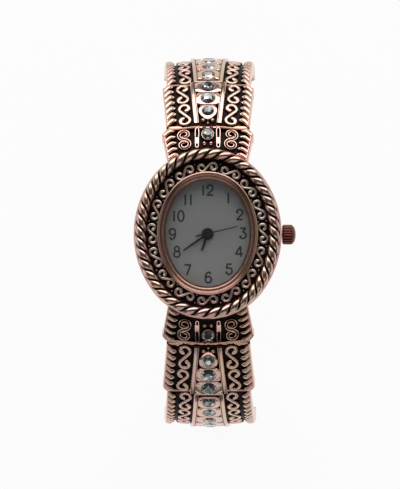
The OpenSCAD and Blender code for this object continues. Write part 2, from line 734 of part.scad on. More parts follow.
module fifth_wheel() {
    low = bridge_z + bridge_t + 0.08;
    color("#c9b37a") translate([fifth_at[0], fifth_at[1], 0]) {
        gear(fifth_pinion, 0.09, low, low + 0.35, fifth_angle + 180, true);
        gear(fifth_teeth, train_module, 2.75, 2.75 + wheel_t, rotor_angle);
        translate([0, 0, bridge_z + 0.02]) cylinder(r = arbor_r, h = main_plate_z - bridge_z - 0.06);
    }
}

module rotor() {
    color("#8a8d90") translate([rotor_at[0], rotor_at[1], 0]) {
        gear(rotor_pinion, train_module, 2.6, 3.05, rotor_angle + 180, true);
        translate([0, 0, 2.05]) cylinder(r = 0.6, h = 0.5);
        translate([0, 0, bridge_z + 0.02]) cylinder(r = arbor_r, h = main_plate_z - bridge_z - 0.06);
    }
}

module minute_wheel() {
    color("#c9b37a") translate([minute_at[0], minute_at[1], 0]) {
        gear(minute_teeth, motion_module, plate_top_z + 0.06, plate_top_z + 0.06 + wheel_t,
             minute_wheel_angle + 180, true);
        gear(minute_pinion, hour_module, plate_top_z + 0.1, dial_low_z - 0.05,
             minute_wheel_angle + 180, true);
        translate([0, 0, main_plate_z + 0.1]) cylinder(r = arbor_r, h = 0.8);
    }
}

// Panels on each tier: a smooth wall and a rope down both sides, rails and stones in the middle
rope_in = edge_wall + edging_d / 2 + 0.02;
rail_gap_near = 3.45;
rail_gap_far = 4.9;
end_rail_gap = 2.95;

module end_piece() {
    color("#a8786a") difference() {
        union() {
            tier_slab(end_tier, -cuff_t, -panel_depth) polygon(tier_plan(end_tier, 0, corner_r));
            difference() {
                tier_slab(end_tier, -panel_depth - 0.1, 0) polygon(tier_plan(end_tier, 0, corner_r));
                tier_slab(end_tier, -panel_depth, 1)
                    polygon(tier_plan([end_tier[0], end_tier[1] - 0.5, end_tier[2], end_tier[3], 0],
                                      edge_wall, corner_r - edge_wall));
            }
            cuff_band(hinge_walk - 3, hinge_walk - hinge_face_gap, -cuff_t, -hinge_drop + 0.4,
                      middle_w0 - 0.2);
            for (side = [-1, 1]) {
                half = (middle_w0 / 2 - 0.1 - barrel_half - 0.1) / 2;
                on_hinge(barrel_r, half, side * (barrel_half + 0.1 + half));
            }
        }
        linear_extrude(40, center = true) polygon(oval_points(seat_gap));
        on_hinge(barrel_r + barrel_gap, barrel_half + 0.1);
        on_hinge(pin_r + 0.01, 12);
        cuff_band(hinge_walk - 4.2, hinge_walk, -cuff_t - 1, -cuff_t + 0.3 + 2 * leaf_t, leaf_w + 0.4);
    }
}

module hinge_pin() {
    color("#b9b2ac") on_hinge(pin_r, middle_w0 / 2 - 0.15);
}

// A flat strip under the end piece whose tip presses on the arm's barrel
module hinge_spring() {
    roof = -cuff_t + 0.3 + 2 * leaf_t - seat_gap;
    color("#8a8d90") difference() {
        cuff_band(hinge_walk - 4.1, hinge_walk - 0.1, roof - leaf_t, roof, leaf_w);
        on_hinge(barrel_r + run_gap, barrel_half);
    }
}

module arm() {
    color("#a8786a") difference() {
        union() {
            tier_slab([hinge_walk + hinge_face_gap, middle_end, middle_w0, middle_w1, 0],
                      -cuff_t, -panel_depth - tier_drop)
                polygon(tier_plan(middle_tier, 0, corner_r));
            tier_slab(outer_tier, -cuff_t, -panel_depth - 2 * tier_drop)
                polygon(tier_plan(outer_tier, 0, corner_r));
            for (tier = [middle_tier, outer_tier]) difference() {
                raised = [tier == middle_tier ? raised_start : tier[0], tier[1], tier[2], tier[3]];
                tier_slab(raised, -panel_depth + tier[4] - 0.1, tier[4])
                    polygon(tier_plan(tier, 0, corner_r));
                tier_slab(raised, -panel_depth + tier[4], 1)
                    polygon(tier_plan([tier[0], tier[1] - 0.3, tier[2], tier[3]], edge_wall,
                                      corner_r - edge_wall));
            }
            tier_slab(tail_tier, -cuff_t, -3 * tier_drop)
                polygon(tier_plan(tail_tier, 0, tail_corner_r));
            on_hinge(barrel_r, barrel_half);
            intersection() {
                on_cuff(0, hinge_walk + 1, -hinge_drop)
                    cube([2 * barrel_half - 0.6, 2, 2 * barrel_r], center = true);
                cuff_band(hinge_walk, middle_end, -cuff_t, -tier_drop - 0.3, band_w);
            }
        }
        for (side = [-1, 1]) on_hinge(barrel_r + barrel_gap, 4, side * (barrel_half + 4.05));
        on_hinge(pin_r + 0.03, 12);
    }
}

// Rope edging down both sides of a tier
module edging(tier, s0, s1) {
    strands = round((s1 - s0) / edging_pitch);
    edging_rings = 3;
    rings = strands * edging_rings;
    lift = tier[4] - panel_depth + seat_gap + edging_d / 2 + 0.12;
    for (side = [-1, 1]) {
        walks = [for (i = [0:rings]) s0 + (s1 - s0) * i / rings];
        color("#c99484") tube(
            [for (s = walks) cuff_at(side * (tier_width(tier, s) / 2 - rope_in - 0.08), s, lift)],
            [for (s = walks) let (t = cuff_turn(s)) [0, sin(t), cos(t)]],
            [for (i = [0:rings]) rope_reach(edging_d / 2, side * 180 * i / edging_rings)]);
    }
}

// A pair of S-scrolls, one in each side panel, mirrored about the middle
module scroll_pair(tier, s, size) {
    spread = 1.2;
    outline = ribbon([for (p = scroll_points(size)) [p[0], p[1] * spread]], 2 * arm_wire_r);
    for (side = [-1, 1])
        color("#d6aca0") on_cuff(side * panel_middle(tier, s), s, tier[4] - panel_depth + seat_gap)
            linear_extrude(2 * arm_wire_r) polygon([for (p = outline) [side * p[1], p[0]]]);
}

function rail_x(tier, s) =
    tier == end_tier ? end_rail_gap / 2
    : (rail_gap_near + (rail_gap_far - rail_gap_near) * (s - tier[0]) / (middle_end - end_piece_end)
       * (tier == middle_tier ? 1 : 0.6)) / 2;
function panel_middle(tier, s) =
    (rail_x(tier, s) + rail_w + tier_width(tier, s) / 2 - edge_wall - edging_d) / 2;

// Rails on both sides of the stones, and the bar across their far end
module rails(tier, s0, s1, lift) {
    a = tier_along(tier, s0) - 1;
    b = tier_along(tier, s1) + 1;
    x0 = rail_x(tier, s0);
    x1 = rail_x(tier, s1);
    color("#d6aca0") intersection() {
        cuff_band(s0, s1, tier[4] - panel_depth + seat_gap, tier[4] + lift, 12);
        rotate([-tier_turn(tier), 0, 0]) linear_extrude(160, center = true) {
            for (side = [-1, 1])
                polygon([[side * x0, a], [side * (x0 + rail_w), a], [side * (x1 + rail_w), b], [side * x1, b]]);
        }
    }
}

// A round cup with a stone's seat in it
module cup(x, tier, s, d, wall = 0.32) {
    r = d / 2;
    lift = tier[4] - panel_depth + seat_gap;
    color("#d6aca0") on_cuff(x, s, lift) rotate_extrude() polygon([
        [r * 0.55, 0], [r + wall, 0], [r + wall * 0.8, panel_depth], [r + 0.03, panel_depth + 0.08],
        [r + 0.03, panel_depth - 0.12], [r * 0.55, panel_depth - 0.12 - r * 0.62]]);
}

module stone(x, tier, s, d) {
    r = d / 2;
    color("#e8eef0", 0.6) on_cuff(x, s, tier[4] + seat_gap - 0.1) rotate_extrude() polygon([
        [0, -r * 0.6], [r * 0.55, -r * 0.28 + 0.02], [r, 0.02], [r, 0.1], [r * 0.62, 0.1 + r * 0.3],
        [0, 0.1 + r * 0.3]]);
}

module bead(x, tier, s, r) {
    color("#d6aca0") on_cuff(x, s, tier[4] - panel_depth + seat_gap) rotate_extrude()
        polygon([[0, 0], [r, 0], [r, panel_depth * 0.55], [r * 0.7, panel_depth * 0.75], [0, panel_depth * 0.85]]);
}

end_stone_walk = 18.5;
middle_walks = [24.1, 27.15, 30.1];
outer_walks = [for (i = [0:5]) 34.0 + 3.1 * i];

module end_settings() {
    rails(end_tier, 15.85, 19.9, 0.02);
    cup(0, end_tier, end_stone_walk, small_stone, 0.2);
    for (x = [-0.55, 0.55]) {
        bead(x, end_tier, 16.6, 0.3);
        bead(x, end_tier, 19.85, 0.2);
    }
}

module arm_settings() {
    rails(middle_tier, raised_start, middle_end - 0.35, 0.1);
    rails(outer_tier, middle_end + 0.05, outer_end - 0.35, 0.1);
    cup(0, middle_tier, middle_walks[0], medium_stone, 0.25);
    for (i = [1, 2]) cup(0, middle_tier, middle_walks[i], large_stone, 0.1);
    for (s = outer_walks) cup(0, outer_tier, s, outer_stone, 0.2);
    for (x = [-0.6, 0.6]) bead(x, middle_tier, 22.2, 0.25);
    bead(0, middle_tier, 21.75, 0.25);
}

module arm_stones() {
    stone(0, middle_tier, middle_walks[0], medium_stone);
    for (i = [1, 2]) stone(0, middle_tier, middle_walks[i], large_stone);
    for (s = outer_walks) stone(0, outer_tier, s, outer_stone);
}

module arm_edging() {
    edging(middle_tier, raised_start + 0.1, middle_end - 0.45);
    edging(outer_tier, middle_end + 0.15, outer_end - 0.45);
}

module arm_scrolls() {
    for (s = [24.0, 28.9]) scroll_pair(middle_tier, s, 4.6);
    for (i = [0:3]) scroll_pair(outer_tier, 34.4 + 4.65 * i, 4.4);
}

module both() {
    children();
    mirror([0, 1, 0]) children();
}

case_body();
case_back();
case_back_gasket();
bezel_ring();
bezel_rope();
bezel_scrolls();
glass();
glass_gasket();
dial();
movement_holder();
main_plate();
train_bridge();
circuit_block();
coil();
stator();
battery();
quartz_crystal();
crown_tube();
setting_lever();
stem();
crown();
crown_gasket();
seconds_wheel();
second_hand();
centre_wheel();
minute_hand();
hour_wheel();
hour_hand();
third_wheel();
fifth_wheel();
rotor();
minute_wheel();
end_piece();  // upper_end_piece
mirror([0, 1, 0]) end_piece();  // lower_end_piece
both() edging(end_tier, 14.8, end_piece_end - 0.6);  // end_piece_edging
both() scroll_pair(end_tier, 17.6, 4.2);  // end_piece_scrolls
both() end_settings();  // end_piece_settings
both() stone(0, end_tier, end_stone_walk, small_stone);  // end_piece_stones
hinge_pin();  // upper_hinge_pin
mirror([0, 1, 0]) hinge_pin();  // lower_hinge_pin
hinge_spring();  // upper_hinge_spring
mirror([0, 1, 0]) hinge_spring();  // lower_hinge_spring
arm();  // upper_arm
arm_edging();  // upper_arm_edging
arm_scrolls();  // upper_arm_scrolls
arm_settings();  // upper_arm_settings
arm_stones();  // upper_arm_stones
mirror([0, 1, 0]) arm();  // lower_arm
mirror([0, 1, 0]) arm_edging();  // lower_arm_edging
mirror([0, 1, 0]) arm_scrolls();  // lower_arm_scrolls
mirror([0, 1, 0]) arm_settings();  // lower_arm_settings
mirror([0, 1, 0]) arm_stones();  // lower_arm_stones
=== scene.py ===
# Ladies' bangle watch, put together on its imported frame. +Z is the way the dial faces, +Y is
# 12 o'clock and +X is the crown. Sizes are in millimetres until a mesh is made, which is in metres.
import math
from collections import namedtuple
import bpy
import numpy as np
from mathutils import Matrix, Vector


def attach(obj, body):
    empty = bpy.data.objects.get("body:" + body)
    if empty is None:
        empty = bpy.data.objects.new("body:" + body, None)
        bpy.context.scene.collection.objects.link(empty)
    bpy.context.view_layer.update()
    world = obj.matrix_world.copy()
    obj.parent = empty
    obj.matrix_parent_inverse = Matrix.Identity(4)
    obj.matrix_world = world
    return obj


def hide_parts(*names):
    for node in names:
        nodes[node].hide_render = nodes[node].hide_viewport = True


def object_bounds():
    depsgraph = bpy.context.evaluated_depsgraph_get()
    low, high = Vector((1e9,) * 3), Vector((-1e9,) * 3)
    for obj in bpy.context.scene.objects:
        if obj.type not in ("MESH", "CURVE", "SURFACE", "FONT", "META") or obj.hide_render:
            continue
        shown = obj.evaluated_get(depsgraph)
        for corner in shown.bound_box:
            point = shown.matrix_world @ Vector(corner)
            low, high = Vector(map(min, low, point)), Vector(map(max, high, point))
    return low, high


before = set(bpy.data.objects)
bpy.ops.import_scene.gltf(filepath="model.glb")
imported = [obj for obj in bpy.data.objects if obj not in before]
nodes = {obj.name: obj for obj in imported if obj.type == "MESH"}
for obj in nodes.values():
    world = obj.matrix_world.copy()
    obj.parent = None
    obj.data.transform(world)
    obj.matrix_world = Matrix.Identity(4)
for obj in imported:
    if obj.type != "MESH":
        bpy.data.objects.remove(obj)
cad_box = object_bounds()

# ---- Case wall ----
# One oval casting in rose-plated alloy. Its outer wall is polished; the channel that carries the
# ornament is blackened, and so is the seat under the rope.


def set_sockets(tree, node, sockets):
    """Links a shader node's inputs to the outputs given for them and writes in other values."""
    for socket, value in sockets.items():
        if isinstance(value, bpy.types.NodeSocket):
            tree.links.new(value, node.inputs[socket])
        else:
            node.inputs[socket].default_value = value


def add_node(tree, kind, sockets, **settings):
    node = tree.nodes.new("ShaderNode" + kind)
    for setting, value in settings.items():
        setattr(node, setting, value)
    set_sockets(tree, node, sockets)
    return node


def new_finish(name):
    finish = bpy.data.materials.new(name)
    finish.use_nodes = True
    return finish, finish.node_tree, finish.node_tree.nodes["Principled BSDF"]


def new_effect(name, takes, gives):
    """A shader group with named inputs, each at its usual value, and named outputs."""
    group = bpy.data.node_groups.new(name, "ShaderNodeTree")
    kinds = {1: "NodeSocketFloat", 3: "NodeSocketVector", 4: "NodeSocketColor"}
    for label, value in takes.items():
        kind = kinds[np.size(value)]
        group.interface.new_socket(label, in_out="INPUT", socket_type=kind).default_value = value
    for label in gives:
        kind = "NodeSocketColor" if label == "Color" else "NodeSocketFloat"
        group.interface.new_socket(label, in_out="OUTPUT", socket_type=kind)
    return group, group.nodes.new("NodeGroupInput").outputs, group.nodes.new("NodeGroupOutput")


def grain(tree, scale, detail=2):
    """Outputs of a noise that lies still on the object."""
    place = add_node(tree, "TexCoord", {}).outputs["Object"]
    return add_node(tree, "TexNoise", {"Vector": place, "Scale": scale, "Detail": detail}).outputs


def antiqued_plating():
    """Shader group for plating: black where its mask is 0, bright where it is 1, uneven between.
    The mask holds wear, and on the bezel ring it holds painted sheen.
    """
    group, inside, outside = new_effect(
        "antiqued plating",
        {"Wear and sheen": 1.0, "Bright": (0.6, 0.4, 0.33, 1), "Dark": (0.012, 0.006, 0.005, 1),
         "Gloss": 0.2, "Matte": 0.55, "Grain": 900.0},
        ("Color", "Roughness", "Metallic", "Height"))
    fine = grain(group, inside["Grain"], 3)["Fac"]
    broad = grain(group, 160)["Color"]
    wander = add_node(group, "Math", {0: fine, 1: 0.3, 2: -0.15}, operation="MULTIPLY_ADD")
    uneven = add_node(group, "Math", {0: inside["Wear and sheen"], 1: wander.outputs[0]}, operation="ADD")
    edge = add_node(group, "MapRange",
                    {"Value": uneven.outputs[0], "From Min": 0.2, "From Max": 0.75},
                    interpolation_type="SMOOTHSTEP").outputs[0]
    tone = add_node(group, "Mix", {0: 0.35, 6: inside["Bright"], 7: broad},
                    data_type="RGBA", blend_type="MULTIPLY")
    color = add_node(group, "Mix", {0: edge, 6: inside["Dark"], 7: tone.outputs[2]},
                     data_type="RGBA")
    rough = add_node(group, "Mix", {0: edge, 2: inside["Matte"], 3: inside["Gloss"]},
                     data_type="FLOAT")
    metal = add_node(group, "MapRange", {"Value": edge, "To Min": 0.85})
    set_sockets(group, outside, {"Color": color.outputs[2], "Roughness": rough.outputs[0],
                                 "Metallic": metal.outputs[0], "Height": fine})
    return group


plating = antiqued_plating()


def wear_and_sheen_layer(tree):
    """Mask of a finish: the wear values that make_piece keeps in a mesh, which on the bezel ring
    are painted sheen.
    """
    return add_node(tree, "Attribute", {}, attribute_name="wear_and_sheen").outputs["Fac"]


def plated(name, bright, gloss, dark=(0.012, 0.006, 0.005, 1), matte=0.55, bump=0.02,
           mask=wear_and_sheen_layer):
    """A plated finish: bright and glossy where its mask is 1, dark and matte where it is 0."""
    finish, tree, shader = new_finish(name)
    plate = add_node(tree, "Group", {"Wear and sheen": mask(tree), "Bright": bright, "Dark": dark,
                                     "Gloss": gloss, "Matte": matte}, node_tree=plating).outputs
    relief = add_node(tree, "Bump",
                      {"Strength": bump, "Distance": 0.0002, "Height": plate["Height"]})
    set_sockets(tree, shader, {"Base Color": plate["Color"], "Roughness": plate["Roughness"],
                               "Metallic": plate["Metallic"], "Normal": relief.outputs[0]})
    return finish


def standing_walls(tree):
    """Mask of the case: polished where a face stands, black where it looks up from the wearer."""
    facing = add_node(tree, "NewGeometry", {}).outputs["True Normal"]
    height = add_node(tree, "SeparateXYZ", {0: facing}).outputs["Z"]
    return add_node(tree, "MapRange", {"Value": height, "From Min": 0.8, "From Max": 0.95,
                                       "To Min": 1.0, "To Max": 0.0}).outputs[0]


def dress(node, finish):
    mesh = nodes[node].data
    mesh.materials.clear()
    mesh.materials.append(finish)


dress("case_body", plated("rose case wall", (0.62, 0.375, 0.295, 1), 0.16, mask=standing_walls))

# ---- Case back and gaskets ----
# A thin snap-on plate in satin steel, brushed along one direction, with a black gasket in its seam.


def brushing():
    """Shader group for brushed metal: fine streaks that shade it, roughen it and lift it."""
    group, inside, outside = new_effect(
        "brushed streaks",
        {"Color": (0.6, 0.59, 0.58, 1), "Roughness": 0.3, "Stretch": (4.0, 400.0, 4.0)},
        ("Color", "Roughness", "Height"))
    place = add_node(group, "TexCoord", {}).outputs["Object"]
    drawn = add_node(group, "Mapping", {"Vector": place, "Scale": inside["Stretch"]}).outputs[0]
    streaks = add_node(group, "TexNoise",
                       {"Vector": drawn, "Scale": 60, "Detail": 4}).outputs["Fac"]
    shade = add_node(group, "MapRange", {"Value": streaks, "To Min": 0.85}).outputs[0]
    color = add_node(group, "VectorMath", {0: inside["Color"], "Scale": shade}, operation="SCALE")
    spread = add_node(group, "MapRange", {"Value": streaks, "To Min": 0.8, "To Max": 1.3})
    rough = add_node(group, "Math", {0: inside["Roughness"], 1: spread.outputs[0]},
                     operation="MULTIPLY")
    set_sockets(group, outside, {"Color": color.outputs[0], "Roughness": rough.outputs[0],
                                 "Height": streaks})
    return group


def mottling():
    """Shader group for moulded or printed material: a fine, even mottle of its colour."""
    group, inside, outside = new_effect(
        "fine mottle", {"Color": (0.5, 0.5, 0.5, 1), "Scale": 500.0}, ("Color",))
    specks = grain(group, inside["Scale"])["Fac"]
    shade = add_node(group, "MapRange", {"Value": specks, "To Min": 0.8}).outputs[0]
    color = add_node(group, "VectorMath", {0: inside["Color"], "Scale": shade}, operation="SCALE")
    set_sockets(group, outside, {"Color": color.outputs[0]})
    return group


streaks_effect, mottle_effect = brushing(), mottling()


def brushed(name, color, rough, stretch=(4.0, 400.0, 4.0)):
    finish, tree, shader = new_finish(name)
    streaks = add_node(tree, "Group", {"Color": color, "Roughness": rough, "Stretch": stretch},
                       node_tree=streaks_effect).outputs
    relief = add_node(tree, "Bump",
                      {"Strength": 0.05, "Distance": 0.0001, "Height": streaks["Height"]})
    set_sockets(tree, shader, {"Base Color": streaks["Color"], "Roughness": streaks["Roughness"],
                               "Metallic": 1.0, "Normal": relief.outputs[0]})
    return finish


def mottled(name, color, rough, scale=500.0):
    finish, tree, shader = new_finish(name)
    mottle = add_node(tree, "Group", {"Color": color, "Scale": scale}, node_tree=mottle_effect)
    set_sockets(tree, shader, {"Base Color": mottle.outputs["Color"], "Roughness": rough})
    return finish


steel = brushed("brushed steel", (0.6, 0.59, 0.58, 1), 0.3)
dress("case_back", steel)
gasket_rubber = mottled("black gasket rubber", (0.02, 0.02, 0.02, 1), 0.7)
for seal in ("case_back_gasket", "glass_gasket", "crown_gasket"):
    dress(seal, gasket_rubber)

# ---- Movement ----
# A small quartz movement: plates and wheels in brass, pivots and bridge in steel, a copper coil,
# all in a plastic holder. It is closed in by the dial and the case back.
yellow_brass = brushed("movement brass", (0.72, 0.55, 0.28, 1), 0.32, (300.0, 4.0, 4.0))
blank_steel = brushed("movement steel", (0.55, 0.56, 0.57, 1), 0.26)
for wheel in ("main_plate", "seconds_wheel", "centre_wheel", "hour_wheel", "third_wheel",
              "fifth_wheel", "minute_wheel"):
    dress(wheel, yellow_brass)
for blank in ("train_bridge", "stator", "battery", "quartz_crystal", "rotor", "setting_lever",
              "stem", "crown_tube"):
    dress(blank, blank_steel)
dress("coil", brushed("copper winding", (0.55, 0.24, 0.1, 1), 0.35, (4.0, 900.0, 4.0)))
dress("movement_holder", mottled("holder plastic", (0.75, 0.73, 0.68, 1), 0.5))
dress("circuit_block", mottled("circuit board", (0.05, 0.2, 0.1, 1), 0.4, 900.0))

# ---- Dial and numerals ----
# A satin grey dial with a fine speckle, a little lighter towards its edge. The hour numbers are
# thin printed strokes, some with a round end.


def shaded(tree, amount, *stops):
    """Colour that goes from stop to stop, each a place and a colour, as amount goes from 0 to 1."""
    ramp = add_node(tree, "ValToRGB", {"Fac": amount})
    ramp.color_ramp.elements[0].color = stops[0][1]
    ramp.color_ramp.elements[1].color = stops[-1][1]
    for place, color in stops[1:-1]:
        ramp.color_ramp.elements.new(place).color = color
    return ramp.outputs["Color"]


dial_finish, dial_tree, dial_shader = new_finish("satin dial")
dial_place = add_node(dial_tree, "TexCoord", {}).outputs["Object"]
from_centre = add_node(dial_tree, "VectorMath", {0: dial_place}, operation="LENGTH")
outwards = add_node(dial_tree, "MapRange",
                    {"Value": from_centre.outputs["Value"], "From Max": 0.0115}).outputs[0]
dial_grey = shaded(dial_tree, outwards, (0, (0.143, 0.147, 0.145, 1)),
                   (1, (0.201, 0.207, 0.203, 1)))
speckled = add_node(dial_tree, "Mix", {0: 0.12, 6: dial_grey, 7: grain(dial_tree, 2500)["Color"]},
                    data_type="RGBA", blend_type="OVERLAY")
set_sockets(dial_tree, dial_shader,
            {"Base Color": speckled.outputs[2], "Roughness": 0.45, "Metallic": 0.1})
dress("dial", dial_finish)

dial_top = 4.98
ink_height, round_end_height = 0.012, 0.014
stroke_width = 0.31
numeral_height = 1.9


def arc(cx, cy, rx, ry, start, end, steps=14):
    return [(cx + rx * math.cos(math.radians(start + (end - start) * i / steps)),
             cy + ry * math.sin(math.radians(start + (end - start) * i / steps)))
            for i in range(steps + 1)]


# strokes of each figure, one unit high on a baseline at 0, and the round ends that some have
figures = {
    "0": [arc(0, 0.5, 0.27, 0.5, 90, 450, 24)],
    "1": [[(0, 0), (0, 1)]],
    "2": [arc(0, 0.72, 0.27, 0.28, 185, -35) + [(-0.28, 0.04)], [(-0.3, 0.05), (0.3, 0.05)]],
    "3": [[(-0.26, 0.96), (0.26, 0.96)], [(0.24, 0.96), (-0.04, 0.6)],
          arc(-0.02, 0.3, 0.3, 0.3, 95, -165)],
    "4": [[(0.14, 0), (0.14, 1.0)], [(0.13, 1.0), (-0.34, 0.30)], [(-0.34, 0.28), (0.36, 0.28)]],
    "5": [[(0.26, 0.96), (-0.2, 0.96)], [(-0.18, 0.96), (-0.24, 0.53)],
          arc(-0.02, 0.31, 0.3, 0.31, 135, -160)],
    "6": [arc(0.06, 0.5, 0.34, 0.5, 70, 180, 8), arc(0, 0.3, 0.28, 0.3, 180, 540, 20)],
    "7": [[(-0.3, 0.96), (0.3, 0.96)], [(0.28, 0.96), (-0.08, 0.0)]],
    "8": [arc(0, 0.77, 0.22, 0.23, -90, 270, 20), arc(0, 0.28, 0.28, 0.28, 90, 450, 22)],
    "9": [arc(-0.06, 0.5, 0.34, 0.5, -110, 0, 8), arc(0, 0.7, 0.28, 0.3, 0, 360, 20)]}
round_ends = {"2": (-0.2, 0.72), "3": (-0.24, 0.2), "5": (-0.24, 0.2), "6": (0.18, 0.9),
              "9": (-0.18, 0.1)}
numeral_places = {"12": (0.0, 7.8), "1": (3.7, 6.4), "2": (5.7, 3.4), "3": (6.3, 0.1),
                  "4": (5.6, -3.2), "5": (3.8, -6.3), "6": (0.1, -7.8), "7": (-3.6, -6.4),
                  "8": (-5.5, -3.2), "9": (-6.3, 0.0), "10": (-5.2, 3.2), "11": (-3.5, 6.1)}
figure_shifts = {"10": (-0.42, 0.22), "11": (-0.25974, 0.25974), "12": (-0.42, 0.22)}
round_end = arc(0, 0, 0.1, 0.1, 0, 360, 12)[:-1]


def make_piece(name, part, finish, crease):
    """A mesh piece from a part: its points in millimetres, its faces and, where its finish wears or
    has painted sheen, a value for each point, 0 for black to 1 for bright. Edges over crease
    degrees are sharp."""
    points, faces, *wear_and_sheen = part
    mesh = bpy.data.meshes.new(name)
    mesh.from_pydata([tuple(0.001 * float(c) for c in p) for p in points], [],
                     [tuple(map(int, f)) for f in faces])
    mesh.validate()
    if wear_and_sheen:
        layer = mesh.attributes.new("wear_and_sheen", "FLOAT", "POINT")
        layer.data.foreach_set("value", [float(w) for w in wear_and_sheen[0]])
    mesh.polygons.foreach_set("use_smooth", [crease > 0] * len(mesh.polygons))
    if 0 < crease < 180:
        mesh.set_sharp_from_angle(angle=math.radians(crease))
    mesh.materials.append(finish)
    piece = bpy.data.objects.new(name, mesh)
    bpy.context.scene.collection.objects.link(piece)
    return piece


numeral_points, numeral_faces = [], []
for number, (middle_x, middle_y) in numeral_places.items():
    for figure, shift in zip(number, figure_shifts.get(number, (0.0,))):
        for stroke in figures[figure]:
            line = np.array([[middle_x + (x + shift) * numeral_height,
                              middle_y + (y - 0.5) * numeral_height] for x, y in stroke])
            along = np.gradient(line, axis=0)
            along /= np.linalg.norm(along, axis=1)[:, None]
            off = np.stack([-along[:, 1], along[:, 0]], 1) * stroke_width / 2
            base = len(numeral_points)
            numeral_points += [(*p, dial_top + ink_height)
                               for both in zip(line + off, line - off) for p in both]
            numeral_faces += [(base + i, base + i + 1, base + i + 3, base + i + 2)
                              for i in range(0, 2 * len(line) - 2, 2)]
        if figure in round_ends:
            end_x, end_y = round_ends[figure]
            base = len(numeral_points)
            numeral_points += [(middle_x + (end_x + shift + x) * numeral_height,
                                middle_y + (end_y - 0.5 + y) * numeral_height,
                                dial_top + round_end_height) for x, y in round_end]
            numeral_faces.append(tuple(range(base, base + len(round_end))))
numeral_ink = mottled("numeral ink", (0.004, 0.004, 0.005, 1), 0.6, 3000.0)
numerals = make_piece("dial_numerals", (numeral_points, numeral_faces), numeral_ink, 0)
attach(numerals, "case")

# ---- Hands ----
# Three stamped hands in gloss black, each pressed on its own tube at the dial's centre.
hand_black = mottled("gloss black hands", (0.002, 0.002, 0.0025, 1), 0.35, 2000.0)
for hand in ("hour_hand", "minute_hand", "second_hand"):
    dress(hand, hand_black)

# ---- Glass ----
# A flat mineral glass in a thin gasket. Shadow rays pass through it, so that the dial stays lit.
glass_finish, glass_tree, glass_shader = new_finish("watch glass")
smears = add_node(glass_tree, "TexNoise", {"Scale": 80}).outputs["Fac"]
smeared = add_node(glass_tree, "MapRange", {"Value": smears, "To Min": 0.0, "To Max": 0.03})
set_sockets(glass_tree, glass_shader,
            {"Base Color": (0.97, 0.98, 0.98, 1), "Transmission Weight": 1.0, "IOR": 1.5,
             "Roughness": smeared.outputs[0]})
glass_mix = add_node(glass_tree, "MixShader",
                     {0: add_node(glass_tree, "LightPath", {}).outputs["Is Shadow Ray"],
                      1: glass_shader.outputs[0],
                      2: add_node(glass_tree, "BsdfTransparent", {}).outputs[0]})
set_sockets(glass_tree, glass_tree.nodes["Material Output"], {"Surface": glass_mix.outputs[0]})
dress("glass", glass_finish)

# ---- Polished bezel ring ----
# Turned from the same rose-plated alloy and polished. It is pressed into the rebate, holds the
# glass down and slopes to the opening in fine steps. Its colour is painted sheen: a bright line on
# its edge, darker bands down its slope, a lighter ridge and a dark shadow line by the glass.
stretch = 2.0
case_half_width = 13.2
flat_centre, end_centre = 2 * stretch, 1.5 * stretch
flat_radius = case_half_width + flat_centre
end_radius = flat_radius - 2.5 * stretch
turn_at_join = math.atan2(end_centre, flat_centre)


def oval_point(turn, out):
    """Point of the case outline, an oval of four arcs, where its normal has turned by turn from
    +X; the outline is moved out by out."""
    t = turn % (2 * math.pi)
    if min(t, 2 * math.pi - t) < turn_at_join or abs(t - math.pi) < turn_at_join:
        cx, cy, r = (-flat_centre if math.cos(t) > 0 else flat_centre), 0.0, flat_radius
    else:
        cx, cy, r = 0.0, (end_centre if math.sin(t) > 0 else -end_centre), end_radius
    return np.array([cx + (r + out) * math.cos(t), cy + (r + out) * math.sin(t)])


def quarter_walk(out):
    return (flat_radius + out) * turn_at_join + (end_radius + out) * (math.pi / 2 - turn_at_join)


def turn_after(walk, out):
    """Turn of the normal after a walk from 3 o'clock along the outline moved out by out."""
    quarter = quarter_walk(out)
    k = math.floor(walk / quarter)
    rest = walk - k * quarter
    if k % 2:
        rest = quarter - rest
    flat = (flat_radius + out) * turn_at_join
    turn = rest / (flat_radius + out)
    if rest >= flat:
        turn = turn_at_join + (rest - flat) / (end_radius + out)
    return math.pi / 2 * k + (math.pi / 2 - turn if k % 2 else turn)


def even_turns(count, out):
    """Turns at evenly spaced places right round the outline moved out by out."""
    return [turn_after(4 * quarter_walk(out) * i / count, out) for i in range(count)]


def angles(sides):
    return [2 * math.pi * j / sides for j in range(sides)]


def joined(rings, sides, closed=False, capped=False, inward=False):
    """Faces that join rings of points to the next ones: closed joins the last ring to the first,
    capped closes both ends, and inward turns the faces over."""
    faces = []
    for i in range(rings if closed else rings - 1):
        a, b = i * sides, (i + 1) % rings * sides
        for j in range(sides):
            k = (j + 1) % sides
            faces.append((a + j, b + j, b + k, a + k) if inward else (a + j, a + k, b + k, b + j))
    if capped:
        first, last = list(range(sides)), list(range((rings - 1) * sides, rings * sides))
        faces += [tuple(first), tuple(last[::-1])] if inward else [tuple(first[::-1]), tuple(last)]
    return faces
